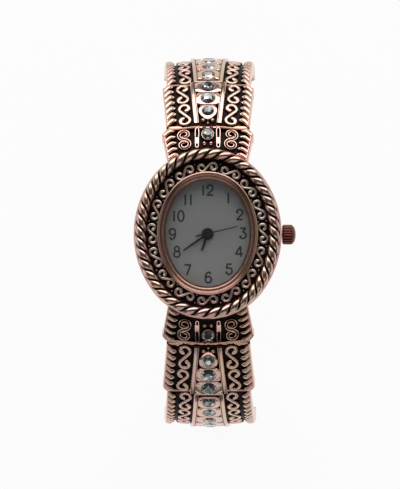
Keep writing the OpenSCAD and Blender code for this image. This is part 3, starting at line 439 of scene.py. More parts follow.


# out from the outline, height, painted sheen: 1 for the bright edge line, low for the darker
# reflection bands and the shadow line by the glass
ring_profile = [
    (-4.22, 5.67, 0.0), (-4.22, 7.25, 0.6), (-4.27, 7.30, 1.0), (-4.34, 7.35, 1.0),
    (-4.40, 7.36, 1.0), (-4.44, 7.30, 0.3), (-4.50, 7.20, 0.0), (-4.70, 7.06, 0.1),
    (-4.95, 6.97, 0.2), (-5.02, 6.96, 0.4), (-5.10, 6.975, 0.55), (-5.20, 6.975, 0.55),
    (-5.30, 6.95, 0.45), (-5.36, 6.91, 0.2), (-5.42, 6.87, 0.0), (-5.60, 6.84, 0.1),
    (-5.66, 6.86, 0.4), (-5.74, 6.85, 0.4), (-5.78, 6.80, 0.3), (-5.78, 6.71, 0.1),
    (-5.02, 6.71, 0.0), (-5.02, 5.67, 0.0)]
ring_steps, ring_line = 360, -3.0
ring_turns = even_turns(ring_steps, ring_line)
# The polished ring's light and dark are painted: a highlight line, reflection bands and a shadow
# line. The reddish-brown dark colour stands in for reflection, not blackening.
bezel_ring = make_piece(
    "polished_bezel_ring",
    ([(*oval_point(t, out), z) for t in ring_turns for out, z, _ in ring_profile],
     joined(ring_steps, len(ring_profile), closed=True, inward=True),
     [wear_and_sheen for _, _, wear_and_sheen in ring_profile] * ring_steps),
    plated("polished bezel ring", (0.78, 0.55, 0.44, 1), 0.32, dark=(0.26, 0.135, 0.1, 1),
           matte=0.22, bump=0.008), 40)
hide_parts("bezel_ring")
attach(bezel_ring, "case")

# ---- Rope bezel ----
# Two round wires twisted into a rope, soldered into a ring on the case's shoulder. Its high places
# are polished bright and the furrows between the strands are left black.
rope_inset, rope_flare, rope_height = 1.30, 0.30, 7.185
rope_core, strand_swell, strand_share = 0.50, 0.45, 0.91
rope_squash = 0.92
lay_turns, strands = 21, 2
rope_rings, rope_sides = lay_turns * strands * 24, 48


def smooth_step(x, low, high):
    k = np.clip((np.asarray(x, float) - low) / (high - low), 0, 1)
    return k * k * (3 - 2 * k)


rope_points, rope_worn = [], []
for i, t in enumerate(even_turns(rope_rings, -rope_inset)):
    x, y = oval_point(t, rope_flare * math.sin(t) ** 2 - rope_inset)
    for j in range(rope_sides):
        a = 2 * math.pi * j / rope_sides
        across = 2 * ((strands * (lay_turns * i / rope_rings - j / rope_sides)) % 1.0) - 1
        swell = math.sqrt(max(0.0, 1 - (across / strand_share) ** 2))
        r = rope_core + strand_swell * swell
        rope_points.append((x + r * math.cos(a) * math.cos(t), y + r * math.cos(a) * math.sin(t),
                            rope_height + rope_squash * r * math.sin(a)))
        rope_worn.append(float(smooth_step(swell, 0.45, 0.85)))
rope_faces = joined(rope_rings, rope_sides, closed=True, inward=True)
rope = make_piece("rope_bezel_strands", (rope_points, rope_faces, rope_worn),
                  plated("rope strands", (0.76, 0.50, 0.405, 1), 0.22), 180)
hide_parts("bezel_rope")
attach(rope, "case")

# ---- Bezel scrolls ----
# Sixteen S-scrolls of round wire, curled in at both ends, with a pair of granules in each gap.
# They are soldered flat on the blackened channel ground.
scroll_count = 16
channel_middle = -3.3
ground_height = 6.02
granule_radius, granule_aside = 0.13, 0.72
wire_seat, granule_seat = 0.14, 0.06


def scroll_curve(length, height, turned_by, curl, ease, spread):
    """Centreline of an S: a straight middle, and at each end a loop that curls in clockwise."""
    loop = height / 2
    reach = length / 2 - loop
    lean = math.asin(min(0.985, loop / reach))
    half = [np.array([reach * math.cos(lean) ** 2, reach * math.cos(lean) * math.sin(lean)]) * k / 5
            for k in range(5)]
    for i in range(31):
        k = i / 30
        turn = lean + math.pi / 2 - math.radians(turned_by) * k
        r = loop * (1 - curl * k ** ease)
        half.append(np.array([reach + r * math.cos(turn), r * math.sin(turn)]))
    half = np.array(half)
    return np.vstack([-half[:0:-1], half]) * np.array([1.0, spread])


def along_and_across(path, ups, closed=False):
    """Unit directions along a path and across it, on a ground whose normals are ups."""
    along = np.roll(path, -1, 0) - np.roll(path, 1, 0) if closed else np.gradient(path, axis=0)
    along /= np.linalg.norm(along, axis=1)[:, None]
    across = np.cross(along, ups)
    across /= np.linalg.norm(across, axis=1)[:, None]
    return along, across


def laid_ribbon(path, ups, reach, section):
    """A strip laid along a path on a ground; its section is a list of (across, height, worn)."""
    path, ups = np.asarray(path, float), np.asarray(ups, float)
    _, across = along_and_across(path, ups)
    points = [path[i] + reach[i] * x * across[i] + h * ups[i]
              for i in range(len(path)) for x, h, _ in section]
    return (points, joined(len(path), len(section), capped=True, inward=True),
            [wear_and_sheen for _, _, wear_and_sheen in section] * len(path))


def fuller_ends(count, width, ends):
    """Half widths along a scroll: fuller towards its inner ends, which are rounded off."""
    k = np.abs(np.linspace(-1, 1, count))
    middle = 0.92
    return (width * (middle + (ends - middle) * smooth_step(k, 0.5, 0.92))
            * np.sqrt(1 - 0.85 * smooth_step(k, 0.955, 1.0)))


def bead(centre, up, radius, height=0.9):
    """A granule: a ball sunk a little into the ground it is soldered on."""
    rows, sides = 6, 12
    up = np.asarray(up, float)
    side = np.cross(up, (1.0, 0.02, 0.03))
    side /= np.linalg.norm(side)
    other = np.cross(up, side)
    points = []
    for i in range(rows):
        rise = math.pi / 2 * i / rows * 1.25 - math.pi / 8
        for a in angles(sides):
            round_about = math.cos(a) * side + math.sin(a) * other
            points.append(np.asarray(centre) + radius * (math.cos(rise) * round_about
                                                         + height * math.sin(rise) * up))
    points.append(np.asarray(centre) + radius * height * up)
    tip, last = rows * sides, (rows - 1) * sides
    faces = joined(rows, sides) + [(last + j, last + (j + 1) % sides, tip) for j in range(sides)]
    return points, faces + [tuple(range(sides - 1, -1, -1))], [1.0] * len(points)


def gathered(parts):
    """Several wires, plates or beads as one list of points, faces and worn values."""
    points, faces, wear_and_sheen = [], [], []
    for part in parts:
        base = len(points)
        points += list(part[0])
        faces += [tuple(base + i for i in f) for f in part[1]]
        wear_and_sheen += list(part[2])
    return points, faces, wear_and_sheen


cast_wire = [(-1.0, -0.20, 0.0), (-1.0, 0.10, 0.3), (-0.86, 0.19, 0.9), (-0.55, 0.25, 1.0),
             (0.0, 0.27, 1.0), (0.55, 0.25, 1.0), (0.86, 0.19, 0.9), (1.0, 0.10, 0.3),
             (1.0, -0.20, 0.0)]
bezel_curve = scroll_curve(3.62, 1.52, 330, 0.70, 1.25, 1.08)
bezel_pitch = 4 * quarter_walk(channel_middle) / scroll_count
twelve_walk = 5 * quarter_walk(channel_middle)
scroll_parts = []
for k in range(scroll_count):
    middle = twelve_walk - k * bezel_pitch
    places = [(turn_after(middle - x, channel_middle), channel_middle + y) for x, y in bezel_curve]
    path = [(*oval_point(t, out), ground_height + wire_seat) for t, out in places]
    ups = [(0.38 * math.cos(t), 0.38 * math.sin(t), 0.925) for t, _ in places]
    scroll_parts.append(laid_ribbon(path, ups, fuller_ends(len(path), 0.262, 1.22), cast_wire))
for k in range(scroll_count):
    gap_turn = turn_after(twelve_walk - (k + 0.5) * bezel_pitch, channel_middle)
    for side in (-1, 1):
        x, y = oval_point(gap_turn, channel_middle + granule_aside * side)
        scroll_parts.append(bead((x, y, ground_height + granule_seat), (0, 0, 1), granule_radius))
bezel_scrolls = make_piece("bezel_s_scrolls", gathered(scroll_parts),
                           plated("scroll wire", (0.94, 0.73, 0.645, 1), 0.3), 50)
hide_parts("bezel_scrolls")
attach(bezel_scrolls, "case")

# ---- Crown ----
# Turned from solid, ribbed along its length for the fingers, with a plain domed end. A recess in
# its root clears the tube and the gasket, and it is screwed on the stem.
crown_start, crown_height = 13.32, 2.8
rib_count, rib_depth = 22, 0.2
crown_sides = rib_count * 8
# along, radius, share of the ribs' depth
crown_profile = [
    (1.42, 0.0, 0), (1.42, 0.42, 0), (0.95, 0.42, 0), (0.95, 1.15, 0), (0.0, 1.15, 0),
    (0.0, 1.50, 0), (0.06, 1.60, 0.3), (0.16, 1.68, 0.8), (0.28, 1.78, 1), (1.66, 1.78, 1),
    (1.78, 1.72, 0.7), (1.86, 1.62, 0.3), (1.92, 1.54, 0), (1.98, 1.53, 0), (2.10, 1.42, 0),
    (2.22, 1.22, 0), (2.32, 0.94, 0), (2.40, 0.58, 0), (2.44, 0.25, 0), (2.45, 0.0, 0)]
crown_points, crown_worn = [], []
for along, radius, ribbed in crown_profile:
    for a in angles(crown_sides):
        hollow = (1 - abs(math.cos(rib_count / 2 * a))) ** 1.5 * ribbed
        r = radius - rib_depth * hollow
        crown_points.append((crown_start + along, r * math.cos(a), crown_height + r * math.sin(a)))
        crown_worn.append(1.0 - 0.95 * min(1, hollow * 1.6))
crown_faces = joined(len(crown_profile), crown_sides)
crown_faces[:crown_sides] = [(a, c, d) for a, _, c, d in crown_faces[:crown_sides]]
crown_faces[-crown_sides:] = [(a, b, d) for a, b, _, d in crown_faces[-crown_sides:]]
crown = make_piece("ribbed_crown", (crown_points, crown_faces, crown_worn),
                   plated("crown plating", (0.19, 0.065, 0.05, 1), 0.26,
                          dark=(0.02, 0.006, 0.005, 1)), 30)
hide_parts("crown")
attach(crown, "crown")

# ---- Bangle plates ----
# Each arm is cast in three overlapping tiers on one oval line: rims polished, ground blackened. The
# end pieces are fixed to the case, and the arms hang on them by a barrel hinge with a steel pin.
flank_radius, flank_centre = 17.2, 18.0
crest_drop = flank_centre * 21 / 20
crest_radius = flank_radius + flank_centre * 29 / 20
cuff_height = 8 - crest_radius + crest_drop
crest_turn = math.atan2(flank_centre, crest_drop)
crest_walk = crest_radius * crest_turn
flank_walk = flank_radius * (math.pi - 2 * crest_turn)
# the oval line's arcs: walk and turn where each starts, its centre and its radius
cuff_arcs = [(0.0, 0.0, 0.0, cuff_height - crest_drop, crest_radius),
             (crest_walk, crest_turn, flank_centre, cuff_height, flank_radius),
             (crest_walk + flank_walk, math.pi - crest_turn, 0.0, cuff_height + crest_drop,
              crest_radius)]
Tier = namedtuple("Tier", "start end near_width far_width lift")
end_tier = Tier(10.4, 20.6, 13.3, 16.6, 0.0)
middle_tier = Tier(20.6, 31.8, 14.8, 16.8, -0.25)
outer_tier = Tier(31.8, 51.6, 15.2, 17.4, -0.5)
tail_tier = Tier(51.6, 79.0, 16.2, 11.5, -0.75)
bangle_thickness = 3.0
ground_depth = 0.9
hinge_y, hinge_z, barrel_radius = 19.17, 1.282, 0.8
sides_droop, rims_arch, crown_half_width = 0.75, 0.55, 8.3


def cuff_arc(walk):
    """The line's turn after a walk from the dial's axis, with the centre and radius of its arc."""
    for start, turn, cy, cz, r in reversed(cuff_arcs):
        if walk >= start:
            break
    return turn + (walk - start) / r, cy, cz, r


def flat_point(x, walk, height):
    """Point x across the bangle after a walk from the dial's axis, at a height over its line."""
    t, cy, cz, r = cuff_arc(walk)
    return np.array([x, cy + (r + height) * math.sin(t), cz + (r + height) * math.cos(t)])


def cuff_point(x, walk, height):
    """The same on the crowned plates, whose sides droop and whose far rims are arched."""
    aside = min(1.2, abs(x) / crown_half_width) ** 2.4 * float(smooth_step(walk, 11.0, 19.0))
    return flat_point(x, walk - rims_arch * aside, height - sides_droop * aside)


def crowned(part):
    """A flat plate with its points moved to where they lie on the crowned one."""
    moved = []
    for x, y, z in part[0]:
        for start, turn, cy, cz, r in cuff_arcs:
            t = math.atan2(y - cy, z - cz)
            if t < -math.pi / 2:
                t += 2 * math.pi
            if t < turn:
                break
            walk, height = start + (t - turn) * r, math.hypot(y - cy, z - cz) - r
        moved.append(cuff_point(x, walk, height))
    return moved, part[1], part[2]


def cuff_normal(walk):
    t = cuff_arc(walk)[0]
    return np.array([0.0, math.sin(t), math.cos(t)])


def tier_half(tier, walk):
    share = (walk - tier.start) / (tier.end - tier.start)
    return (tier.near_width + (tier.far_width - tier.near_width) * share) / 2


def case_walk(x, out=0.02):
    """Walk at which the bangle's line comes out of the case wall, x across from its middle."""
    low, high = 0.0, math.pi / 2
    for _ in range(40):
        turn = (low + high) / 2
        low, high = (turn, high) if oval_point(turn, out)[0] > abs(x) else (low, turn)
    wall = oval_point(turn, out)[1]
    low, high = 5.0, 20.0
    for _ in range(40):
        walk = (low + high) / 2
        low, high = (walk, high) if flat_point(0, walk, 0)[1] < wall else (low, walk)
    return low


def rimmed_plate(tier, near, rim, corner, from_case=False, straight=26, turns=7):
    """A tier: rim lists (inset, height, worn) from its foot over its edge to the ground inside it.
    One from the case starts along the case wall, and the others start square at near."""
    cols, far_rim_share, wall_fade = 10, 1.15, 4.0
    points, wear_and_sheen, chains, wall_walks = [], [], [], {}
    for inset, height, bright in rim:
        r = max(corner - inset, 0.03)
        far = tier.end - inset * far_rim_share
        chain = []
        for v in np.arange(straight) / (straight - 1):
            start = near
            walk = near + (far - r - near) * v
            if from_case:
                key = round(tier_half(tier, walk) - inset, 1)
                if key not in wall_walks:
                    wall_walks[key] = case_walk(tier_half(tier, walk) - inset)
                start = wall_walks[key]
                walk = start + (far - r - start) * v
            chain.append((tier_half(tier, walk) - inset, walk))
        for a in np.linspace(0, math.pi / 2, turns)[1:]:
            chain.append((tier_half(tier, tier.end) - inset - r + r * math.cos(a),
                          far - r + r * math.sin(a)))
        rows = []
        for half, walk in chain:
            rows.append((len(points), len(points) + 1))
            points += [flat_point(side * half, walk, tier.lift + height) for side in (-1, 1)]
            inner_far_wall = height < -0.25 and walk > far - 0.3 * r
            wear_and_sheen += [0.05 if inner_far_wall else bright] * 2
        chains.append((rows, chain))
    faces = []
    for (outer, _), (inner, _) in zip(chains, chains[1:]):
        for (l0, r0), (l1, r1), (m0, s0), (m1, s1) in zip(outer, outer[1:], inner, inner[1:]):
            faces += [(r0, r1, s1, s0), (l1, l0, m0, m1)]
        faces.append((outer[-1][1], outer[-1][0], inner[-1][0], inner[-1][1]))
    near_edges = []
    for (rows, chain), (_, height, bright), up in ((chains[-1], rim[-1], True),
                                                   (chains[0], rim[0], False)):
        grid = []
        for (left, right), (half, walk) in zip(rows, chain):
            line = [left]
            for j in range(1, cols):
                x = -half + 2 * half * j / cols
                bulge = 0.0
                if from_case:
                    first = wall_walks[round(chain[0][0], 1)]
                    bulge = (case_walk(x) - first) * max(0.0, 1 - (walk - first) / wall_fade)
                line.append(len(points))
                points.append(flat_point(x, walk + bulge, tier.lift + height))
                wear_and_sheen.append(bright)
            grid.append(line + [right])
        for low, high in zip(grid, grid[1:]):
            for j in range(cols):
                quad = (low[j], low[j + 1], high[j + 1], high[j])
                faces.append(quad if up else quad[::-1])
        near_edges.append(grid[0])
    top, under = near_edges
    faces += [tuple(rows[0][0] for rows, _ in chains)[::-1],
              tuple(rows[0][1] for rows, _ in chains)]
    faces += [(under[j], under[j + 1], top[j + 1], top[j]) for j in range(cols)]
    return points, faces, wear_and_sheen


def side_rim(foot, wall):
    """Rim of a tier: up its outer wall, over a rounded edge and down to the blackened ground."""
    return [(0.0, foot, 0.75), (0.0, foot * 0.5, 0.9), (0.0, -0.34, 1.0), (0.05, -0.16, 1.0),
            (0.14, -0.04, 1.0), (wall * 0.62, 0.0, 1.0), (wall - 0.1, -0.01, 1.0),
            (wall - 0.03, -0.06, 0.9), (wall, -0.15, 0.6), (wall + 0.02, -ground_depth / 2, 0.1),
            (wall + 0.03, -ground_depth, 0.0), (wall + 0.3, -ground_depth, 0.0)]


def reamer(x0, x1, room):
    """Body of the round cutter that makes room for a hinge barrel."""
    sides, radius = 48, barrel_radius + room
    points = [(x, hinge_y + radius * math.cos(a), hinge_z + radius * math.sin(a))
              for x in (x0, x1) for a in angles(sides)]
    return points, [tuple(range(sides))[::-1], tuple(range(sides, 2 * sides))] + joined(2, sides)


def gap_cutter(half, start, end, low, high):
    """Body of the square cutter that opens the far rim between the rails."""
    points = [flat_point(x, walk, height)
              for height in (low, high) for walk in (start, end) for x in (-half, half)]
    return points, [(2, 3, 1, 0), (4, 5, 7, 6), (0, 1, 5, 4), (3, 2, 6, 7), (2, 0, 4, 6),
                    (1, 3, 7, 5)]


def carved(plate, cutters, finish):
    """The plate with the cutters' bodies taken away and the top of its opened rim left bright."""
    body = make_piece("plate_blank", plate, finish, 40)
    for cutter in cutters:
        tool = make_piece("plate_cutter", cutter, finish, 35)
        cut = body.modifiers.new("ream", "BOOLEAN")
        cut.operation, cut.solver, cut.object = "DIFFERENCE", "EXACT", tool
        whole, cleared = body.data, body.evaluated_get(bpy.context.evaluated_depsgraph_get())
        carving = bpy.data.meshes.new_from_object(cleared)
        body.modifiers.clear()
        body.data = carving
        bpy.data.meshes.remove(whole)
        bpy.data.objects.remove(tool)
    points = [tuple(1000 * c for c in v.co) for v in body.data.vertices]
    faces = [tuple(p.vertices) for p in body.data.polygons]
    wear_and_sheen = [d.value for d in body.data.attributes["wear_and_sheen"].data]
    bpy.data.objects.remove(body)
    gap_half, gap_start, gap_foot = 1.6, 17.5, -0.8
    for i, (x, y, z) in enumerate(points):
        height = math.hypot(y, z - cuff_height + crest_drop) - crest_radius
        if abs(x) < gap_half and y > gap_start and height > gap_foot:
            wear_and_sheen[i] = float(smooth_step(height, -0.5, -0.2))
    return points, faces, wear_and_sheen


def barrel(x0, x1):
    """A hinge barrel lying across the bangle, with its ends eased and bored for the pin."""
    ease, bore, sides = 0.08, 0.37, 40
    rows = [(x0, bore), (x0, barrel_radius - ease), (x0 + ease, barrel_radius),
            (x1 - ease, barrel_radius), (x1, barrel_radius - ease), (x1, bore)]
    points = [(x, hinge_y + r * math.cos(a), hinge_z + r * math.sin(a))
              for x, r in rows for a in angles(sides)]
    return points, joined(len(rows), sides, closed=True), [0.8] * len(points)


def mirrored(part):
    """The same piece for the 6 o'clock side."""
    return [(p[0], -p[1], p[2]) for p in part[0]], [tuple(f)[::-1] for f in part[1]], part[2]


plate_finish = plated("bangle plates", (0.78, 0.455, 0.345, 1), 0.17)
end_plate = carved(rimmed_plate(end_tier, 12.0, side_rim(-bangle_thickness, 0.40), 1.35,
                                from_case=True),
                   [reamer(-9.0, 9.0, 0.04), reamer(-4.45, 4.45, 0.2),
                    gap_cutter(1.5, 19.6, 21.2, -0.86, 0.6)], plate_finish)
middle_plate = carved(rimmed_plate(middle_tier, 21.22, side_rim(0.25 - bangle_thickness, 0.35),
                                   1.1),
                      [reamer(4.4, 9.0, 0.3), reamer(-9.0, -4.4, 0.3)], plate_finish)
outer_plate = rimmed_plate(outer_tier, outer_tier.start, side_rim(0.5 - bangle_thickness, 0.30),
                           1.0, straight=40)
tail_rim = [(0.0, 0.75 - bangle_thickness, 0.7), (0.0, -0.4, 0.9), (0.0, -0.2, 1.0),
            (0.06, -0.08, 1.0), (0.18, -0.02, 1.0), (0.4, 0.0, 1.0), (0.8, 0.0, 0.97)]
tail_plate = rimmed_plate(tail_tier, tail_tier.start, tail_rim, 4.5, straight=50, turns=14)
end_parts = gathered([crowned(end_plate), barrel(-7.25, -4.5), barrel(4.5, 7.25)])
arm_parts = gathered([crowned(middle_plate), crowned(outer_plate), crowned(tail_plate),
                      barrel(-4.4, 4.4)])
for name, body, part in (("upper_end_piece", "case", end_parts),
                         ("lower_end_piece", "case", mirrored(end_parts)),
                         ("upper_arm", "upper_arm", arm_parts),
                         ("lower_arm", "lower_arm", mirrored(arm_parts))):
    plates = make_piece(name + "_plates", part, plate_finish, 40)
    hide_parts(name)
    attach(plates, body)
for pin in ("upper_hinge_pin", "lower_hinge_pin", "upper_hinge_spring", "lower_hinge_spring"):
    dress(pin, steel)

# ---- Rope edging of the bangle ----
# Short slanting lobes cast along the rims: each is broad and joined to the wall outside, and runs
# out to a point inside, with black between.


def signed_power(value, power):
    return math.copysign(abs(value) ** power, value)


def lobe(tier, walk, side, width, spacing):
    """One lobe: broad at its foot on the wall, leaning from the case, curling to a blunt point."""
    rows, sides, root = 13, 14, -0.45
    foot_share = 0.43 if tier is end_tier else 0.50
    points, wear_and_sheen = [], []
    for i in range(rows):
        k = i / (rows - 1)
        at = walk + spacing * (-0.28 + 0.64 * math.sin(1.8 * k))
        x = tier_half(tier, at) - 0.20 - width * k
        blunt = math.sqrt(max(0.05, 1 - max(0.0, (k - 0.62) / 0.39) ** 2))
        fat = spacing * (foot_share - 0.13 * float(smooth_step(k, 0.1, 0.75))) * blunt
        crown_rise = (0.02 + 0.05 * math.sin(math.pi * min(1.0, 0.2 + k))
                      - 0.34 * float(smooth_step(k, 0.55, 1.0)))
        for a in angles(sides):
            up = math.sin(a)
            h = root + ((crown_rise - root) * up ** 0.8 if up > 0 else 0.42 * up)
            points.append(cuff_point(side * (x + 0.06 * math.cos(a)),
                                     at + fat * signed_power(math.cos(a), 0.8), tier.lift + h))
            wear_and_sheen.append(float(smooth_step(up, 0.05, 0.6)))
    faces = joined(rows, sides, capped=True)
    return points, faces if side > 0 else [f[::-1] for f in faces], wear_and_sheen


def edging_run(tier, start, end, count, width):
    spacing = (end - start) / count
    return [lobe(tier, start + (i + 0.5) * spacing, side, width, spacing)
            for i in range(count) for side in (-1, 1)]


def ornament(kind, ending, end_part, arm_part, finish, crease):
    """One kind of ornament on its three carriers: both end pieces, the upper arm, the lower arm."""
    for carrier, body, part in (("end_piece", "case", gathered([end_part, mirrored(end_part)])),
                                ("upper_arm", "upper_arm", arm_part),
                                ("lower_arm", "lower_arm", mirrored(arm_part))):
        piece = make_piece(f"{carrier}_{kind}_{ending}", part, finish, crease)
        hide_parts(f"{carrier}_{kind}")
        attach(piece, body)


ornament("edging", "lobes", gathered(edging_run(end_tier, 13.7, 20.25, 5, 1.95)),
         gathered(edging_run(middle_tier, 21.4, 31.5, 7, 1.65)
                  + edging_run(outer_tier, 32.0, 51.1, 13, 1.4)),
         plated("rope edging", (0.79, 0.53, 0.44, 1), 0.2), 60)

# ---- Scrolls of the bangle ----
# A large S of grooved ribbon lies in each side panel of the end pieces, and plain thick S-scrolls
# follow one another down the arms. They lie on the blackened ground and follow its curve.
end_rail_gap, flare_length = 1.475, 11.2
ribbon_seat = 0.32


def rail_gap(tier, walk):
    """Half the room between the rails at a walk along the bangle."""
    if tier is end_tier:
        return end_rail_gap
    near, growth = (1.56, 1.0) if tier is middle_tier else (1.80, 0.75)
    return near + growth * (walk - tier.start) / flare_length


def panel_middle(tier, walk):
    edging_room = 1.75 if tier is end_tier else 1.95
    return (rail_gap(tier, walk) + 0.88 + tier_half(tier, walk) - edging_room) / 2


def laid_scroll(tier, walk, side, curve, width, section, ends=1.2):
    """An S of one section laid on the ground: fuller towards its inner ends."""
    path = [cuff_point(side * (panel_middle(tier, walk) + y), walk + x,
                       tier.lift - ground_depth + ribbon_seat) for x, y in curve]
    ups = [cuff_normal(walk + x) for x, _ in curve]
    return laid_ribbon(path, ups, fuller_ends(len(path), width, ends), section)


plain_ribbon = [(-1.0, -0.36, 0.0), (-1.0, 0.02, 0.35), (-0.84, 0.16, 0.95), (-0.5, 0.235, 1.0),
                (0.0, 0.25, 1.0), (0.5, 0.235, 1.0), (0.84, 0.16, 0.95), (1.0, 0.02, 0.35),
                (1.0, -0.36, 0.0)]
grooved_ribbon = [(-1.0, -0.36, 0.0), (-0.98, 0.10, 0.2), (-0.80, 0.25, 0.85), (-0.52, 0.27, 0.9),
                  (-0.30, 0.14, 0.35), (0.0, 0.02, 0.0), (0.30, 0.14, 0.35), (0.52, 0.27, 0.9),
                  (0.80, 0.25, 0.85), (0.98, 0.10, 0.2), (1.0, -0.36, 0.0)]
large_curve = scroll_curve(3.92, 1.92, 395, 0.68, 1.7, 1.06)
open_curve = scroll_curve(4.66, 1.86, 310, 0.52, 2.0, 1.06)
arm_scrolls = [laid_scroll(tier, walk, side, open_curve, width, plain_ribbon)
               for tier, width, walks in ((middle_tier, 0.34, (23.7, 28.85)),
                                          (outer_tier, 0.33, (34.4, 39.4, 44.4, 49.4)))
               for walk in walks for side in (-1, 1)]
ornament("scrolls", "wire",
         gathered([laid_scroll(end_tier, 17.9, side, large_curve, 0.37, grooved_ribbon, 0.95)
                   for side in (-1, 1)]), gathered(arm_scrolls),
         plated("bangle scrolls", (0.82, 0.56, 0.465, 1), 0.22), 50)

# ---- Rails and stone settings ----
# Two cast rails frame the middle. On the end pieces they are pierced with a slot and an eye; on the
# arms they are grooved. Between them stand the settings: collars, flat plates, a shield and beads.
rail_half, foot = 0.44, -ground_depth


def rail_bar(tier, start, end, side, section):
    """A rail along the gap; its section is (across, height, worn) from its inner foot round."""
    rows = max(4, int((end - start) / 0.5))
    walks = [start + (end - start) * i / (rows - 1) for i in range(rows)]
    points = [cuff_point(side * (rail_gap(tier, walk) + x), walk, tier.lift + h)
              for walk in walks for x, h, _ in section]
    faces = joined(rows, len(section), capped=True)
    return (points, faces if side > 0 else [f[::-1] for f in faces],
            [wear_and_sheen for _, _, wear_and_sheen in section] * rows)


def wire(path, ups, radius, sides, flat=1.0, closed=False):
    """Points and faces of a wire along a path; flat is its height over its width."""
    path = np.asarray(path, float)
    along, across = along_and_across(path, ups, closed)
    up = np.cross(across, along)
    a = (2 * math.pi * (np.arange(sides) + 0.5) / sides)[None, :, None]
    points = path[:, None] + radius * (np.cos(a) * across[:, None] + flat * np.sin(a) * up[:, None])
    points = points.reshape(-1, 3)
    faces = joined(len(path), sides, closed)
    if not closed:
        base, last = len(points), len(points) - sides
        points = np.vstack([points, path[0], path[-1]])
        faces += [(base, (j + 1) % sides, j) for j in range(sides)]
        faces += [(base + 1, last + j, last + (j + 1) % sides) for j in range(sides)]
    return points, faces


def rail_eye(side, start, end, half, strip):
    """A loop of flattened wire round an opening of the end piece's rail."""
    steps = 40
    turn = [(end_rail_gap + rail_half + half * signed_power(math.cos(a), 0.6),
             (start + end) / 2 + (end - start) / 2 * signed_power(math.sin(a), 0.6))
            for a in angles(steps)]
    points, faces = wire([cuff_point(side * x, walk, -0.46) for x, walk in turn],
                         [cuff_normal(walk) for _, walk in turn], strip, 8, 0.5 / strip, True)
    return points, faces, [1.0, 1.0, 1.0, 1.0, 0.1, 0.1, 0.1, 0.1] * steps


def pierced_rail(side):
    """The end piece's rail: a long loop round a slot, a plain stretch, a small eye by the case."""
    plain = rail_bar(end_tier, 16.75, 17.95, side, [
        (0.04, foot, 0.1), (0.03, -0.08, 0.9), (0.1, 0.0, 1), (0.76, 0.0, 1), (0.85, -0.08, 0.9),
        (0.84, foot, 0.1)])
    return [rail_eye(side, 17.75, 20.05, 0.32, 0.15), plain,
            rail_eye(side, 16.0, 16.95, 0.26, 0.15)]


grooved_rail = [(-0.02, foot, 0.1), (-0.02, -0.02, 0.8), (0.03, 0.07, 1.0), (0.11, 0.08, 1.0),
                (0.15, 0.0, 0.1), (0.20, 0.0, 0.1), (0.25, 0.09, 1.0), (0.74, 0.10, 1.0),
                (0.85, 0.03, 0.9), (0.87, foot, 0.1)]


def round_plan(a, r):
    return r * math.cos(a), r * math.sin(a)


def turned_piece(walk, x, tier, profile, sides=28, plan=round_plan):
    """A piece turned about the ground's normal; its profile of (radius, height, worn) is closed."""
    points = []
    for a in angles(sides):
        for r, h, _ in profile:
            px, py = plan(a, r)
            points.append(cuff_point(x + px, walk + py, tier.lift + h))
    return (points, joined(sides, len(profile), closed=True),
            [wear_and_sheen for _, _, wear_and_sheen in profile] * sides)


def collar(walk, tier, radius, wall, top):
    """Thin bezel pressed over the edge of a stone."""
    return turned_piece(walk, 0.0, tier, [
        (radius - 0.3, foot, 0.0), (radius + wall, foot, 0.1), (radius + wall, top - 0.08, 0.4),
        (radius + wall * 0.6, top, 0.7), (radius + 0.01, top, 0.6),
        (radius - 0.02, top - 0.04, 0.3), (radius - 0.3, -0.5, 0.1)])


def stone_plate(walk, tier, radius, outline, shoulder):
    """A plate round a stone. outline gives its reach at an angle; shoulder gives the height of its
    edge, and then how far out its rounding and its flat top reach, with their heights."""
    def plan(a, r):
        reach = radius + (outline(a) - radius) * (r - radius)
        return reach * math.cos(a), reach * math.sin(a)
    edge, round_share, rounded, flat_share, top = shoulder
    return turned_piece(walk, 0.0, tier, [
        (radius, foot, 0.1), (radius + 1.0, foot, 0.2), (radius + 1.0, edge, 0.7),
        (radius + round_share, rounded, 1), (radius + flat_share, top, 1), (radius, top, 0.9)],
        64, plan)


def squared(a, half_x, half_y, power):
    """Reach at an angle of an outline that is squarer the higher its power."""
    return ((abs(math.cos(a) / half_x) ** power + abs(math.sin(a) / half_y) ** power)
            ** (-1 / power))


def flat_setting(walk, tier, radius, half_gap, half_pitch):
    """A flat bright plate round a stone, from rail to rail, with its four corners cut back."""
    return stone_plate(walk, tier, radius, lambda a: squared(a, half_gap, half_pitch, 4.5),
                       (-0.13, 0.9, -0.05, 0.3, -0.02))


def shield_setting(walk, tier, radius):
    """A cup round the first stone, square towards the next one and pointed towards the case."""
    def outline(a):
        return squared(a, 1.72, 1.95, 1.5) if math.sin(a) < 0 else squared(a, 1.72, 1.6, 3.5)
    return stone_plate(walk, tier, radius, outline, (-0.30, 0.85, -0.12, 0.35, -0.03))


def ring(walk, x, tier, radius, strip):
    return turned_piece(walk, x, tier, [
        (radius - strip, foot, 0.1), (radius + strip, foot, 0.2), (radius + strip, -0.3, 0.9),
        (radius, -0.16, 1), (radius - strip, -0.3, 0.6)], 16)


def cast_bead(walk, x, tier, radius):
    centre = cuff_point(x, walk, tier.lift - 0.85 + radius * 0.6)
    return bead(centre, cuff_normal(walk), radius, 1.1)


def cross_bar(tier, walk):
    half = rail_gap(tier, walk)
    path = [cuff_point(x, walk, tier.lift - 0.1) for x in np.linspace(-half, half, 8)]
    points, faces = wire(path, [cuff_normal(walk)] * 8, 0.2, 10)
    return points, faces, [1.0] * len(points)


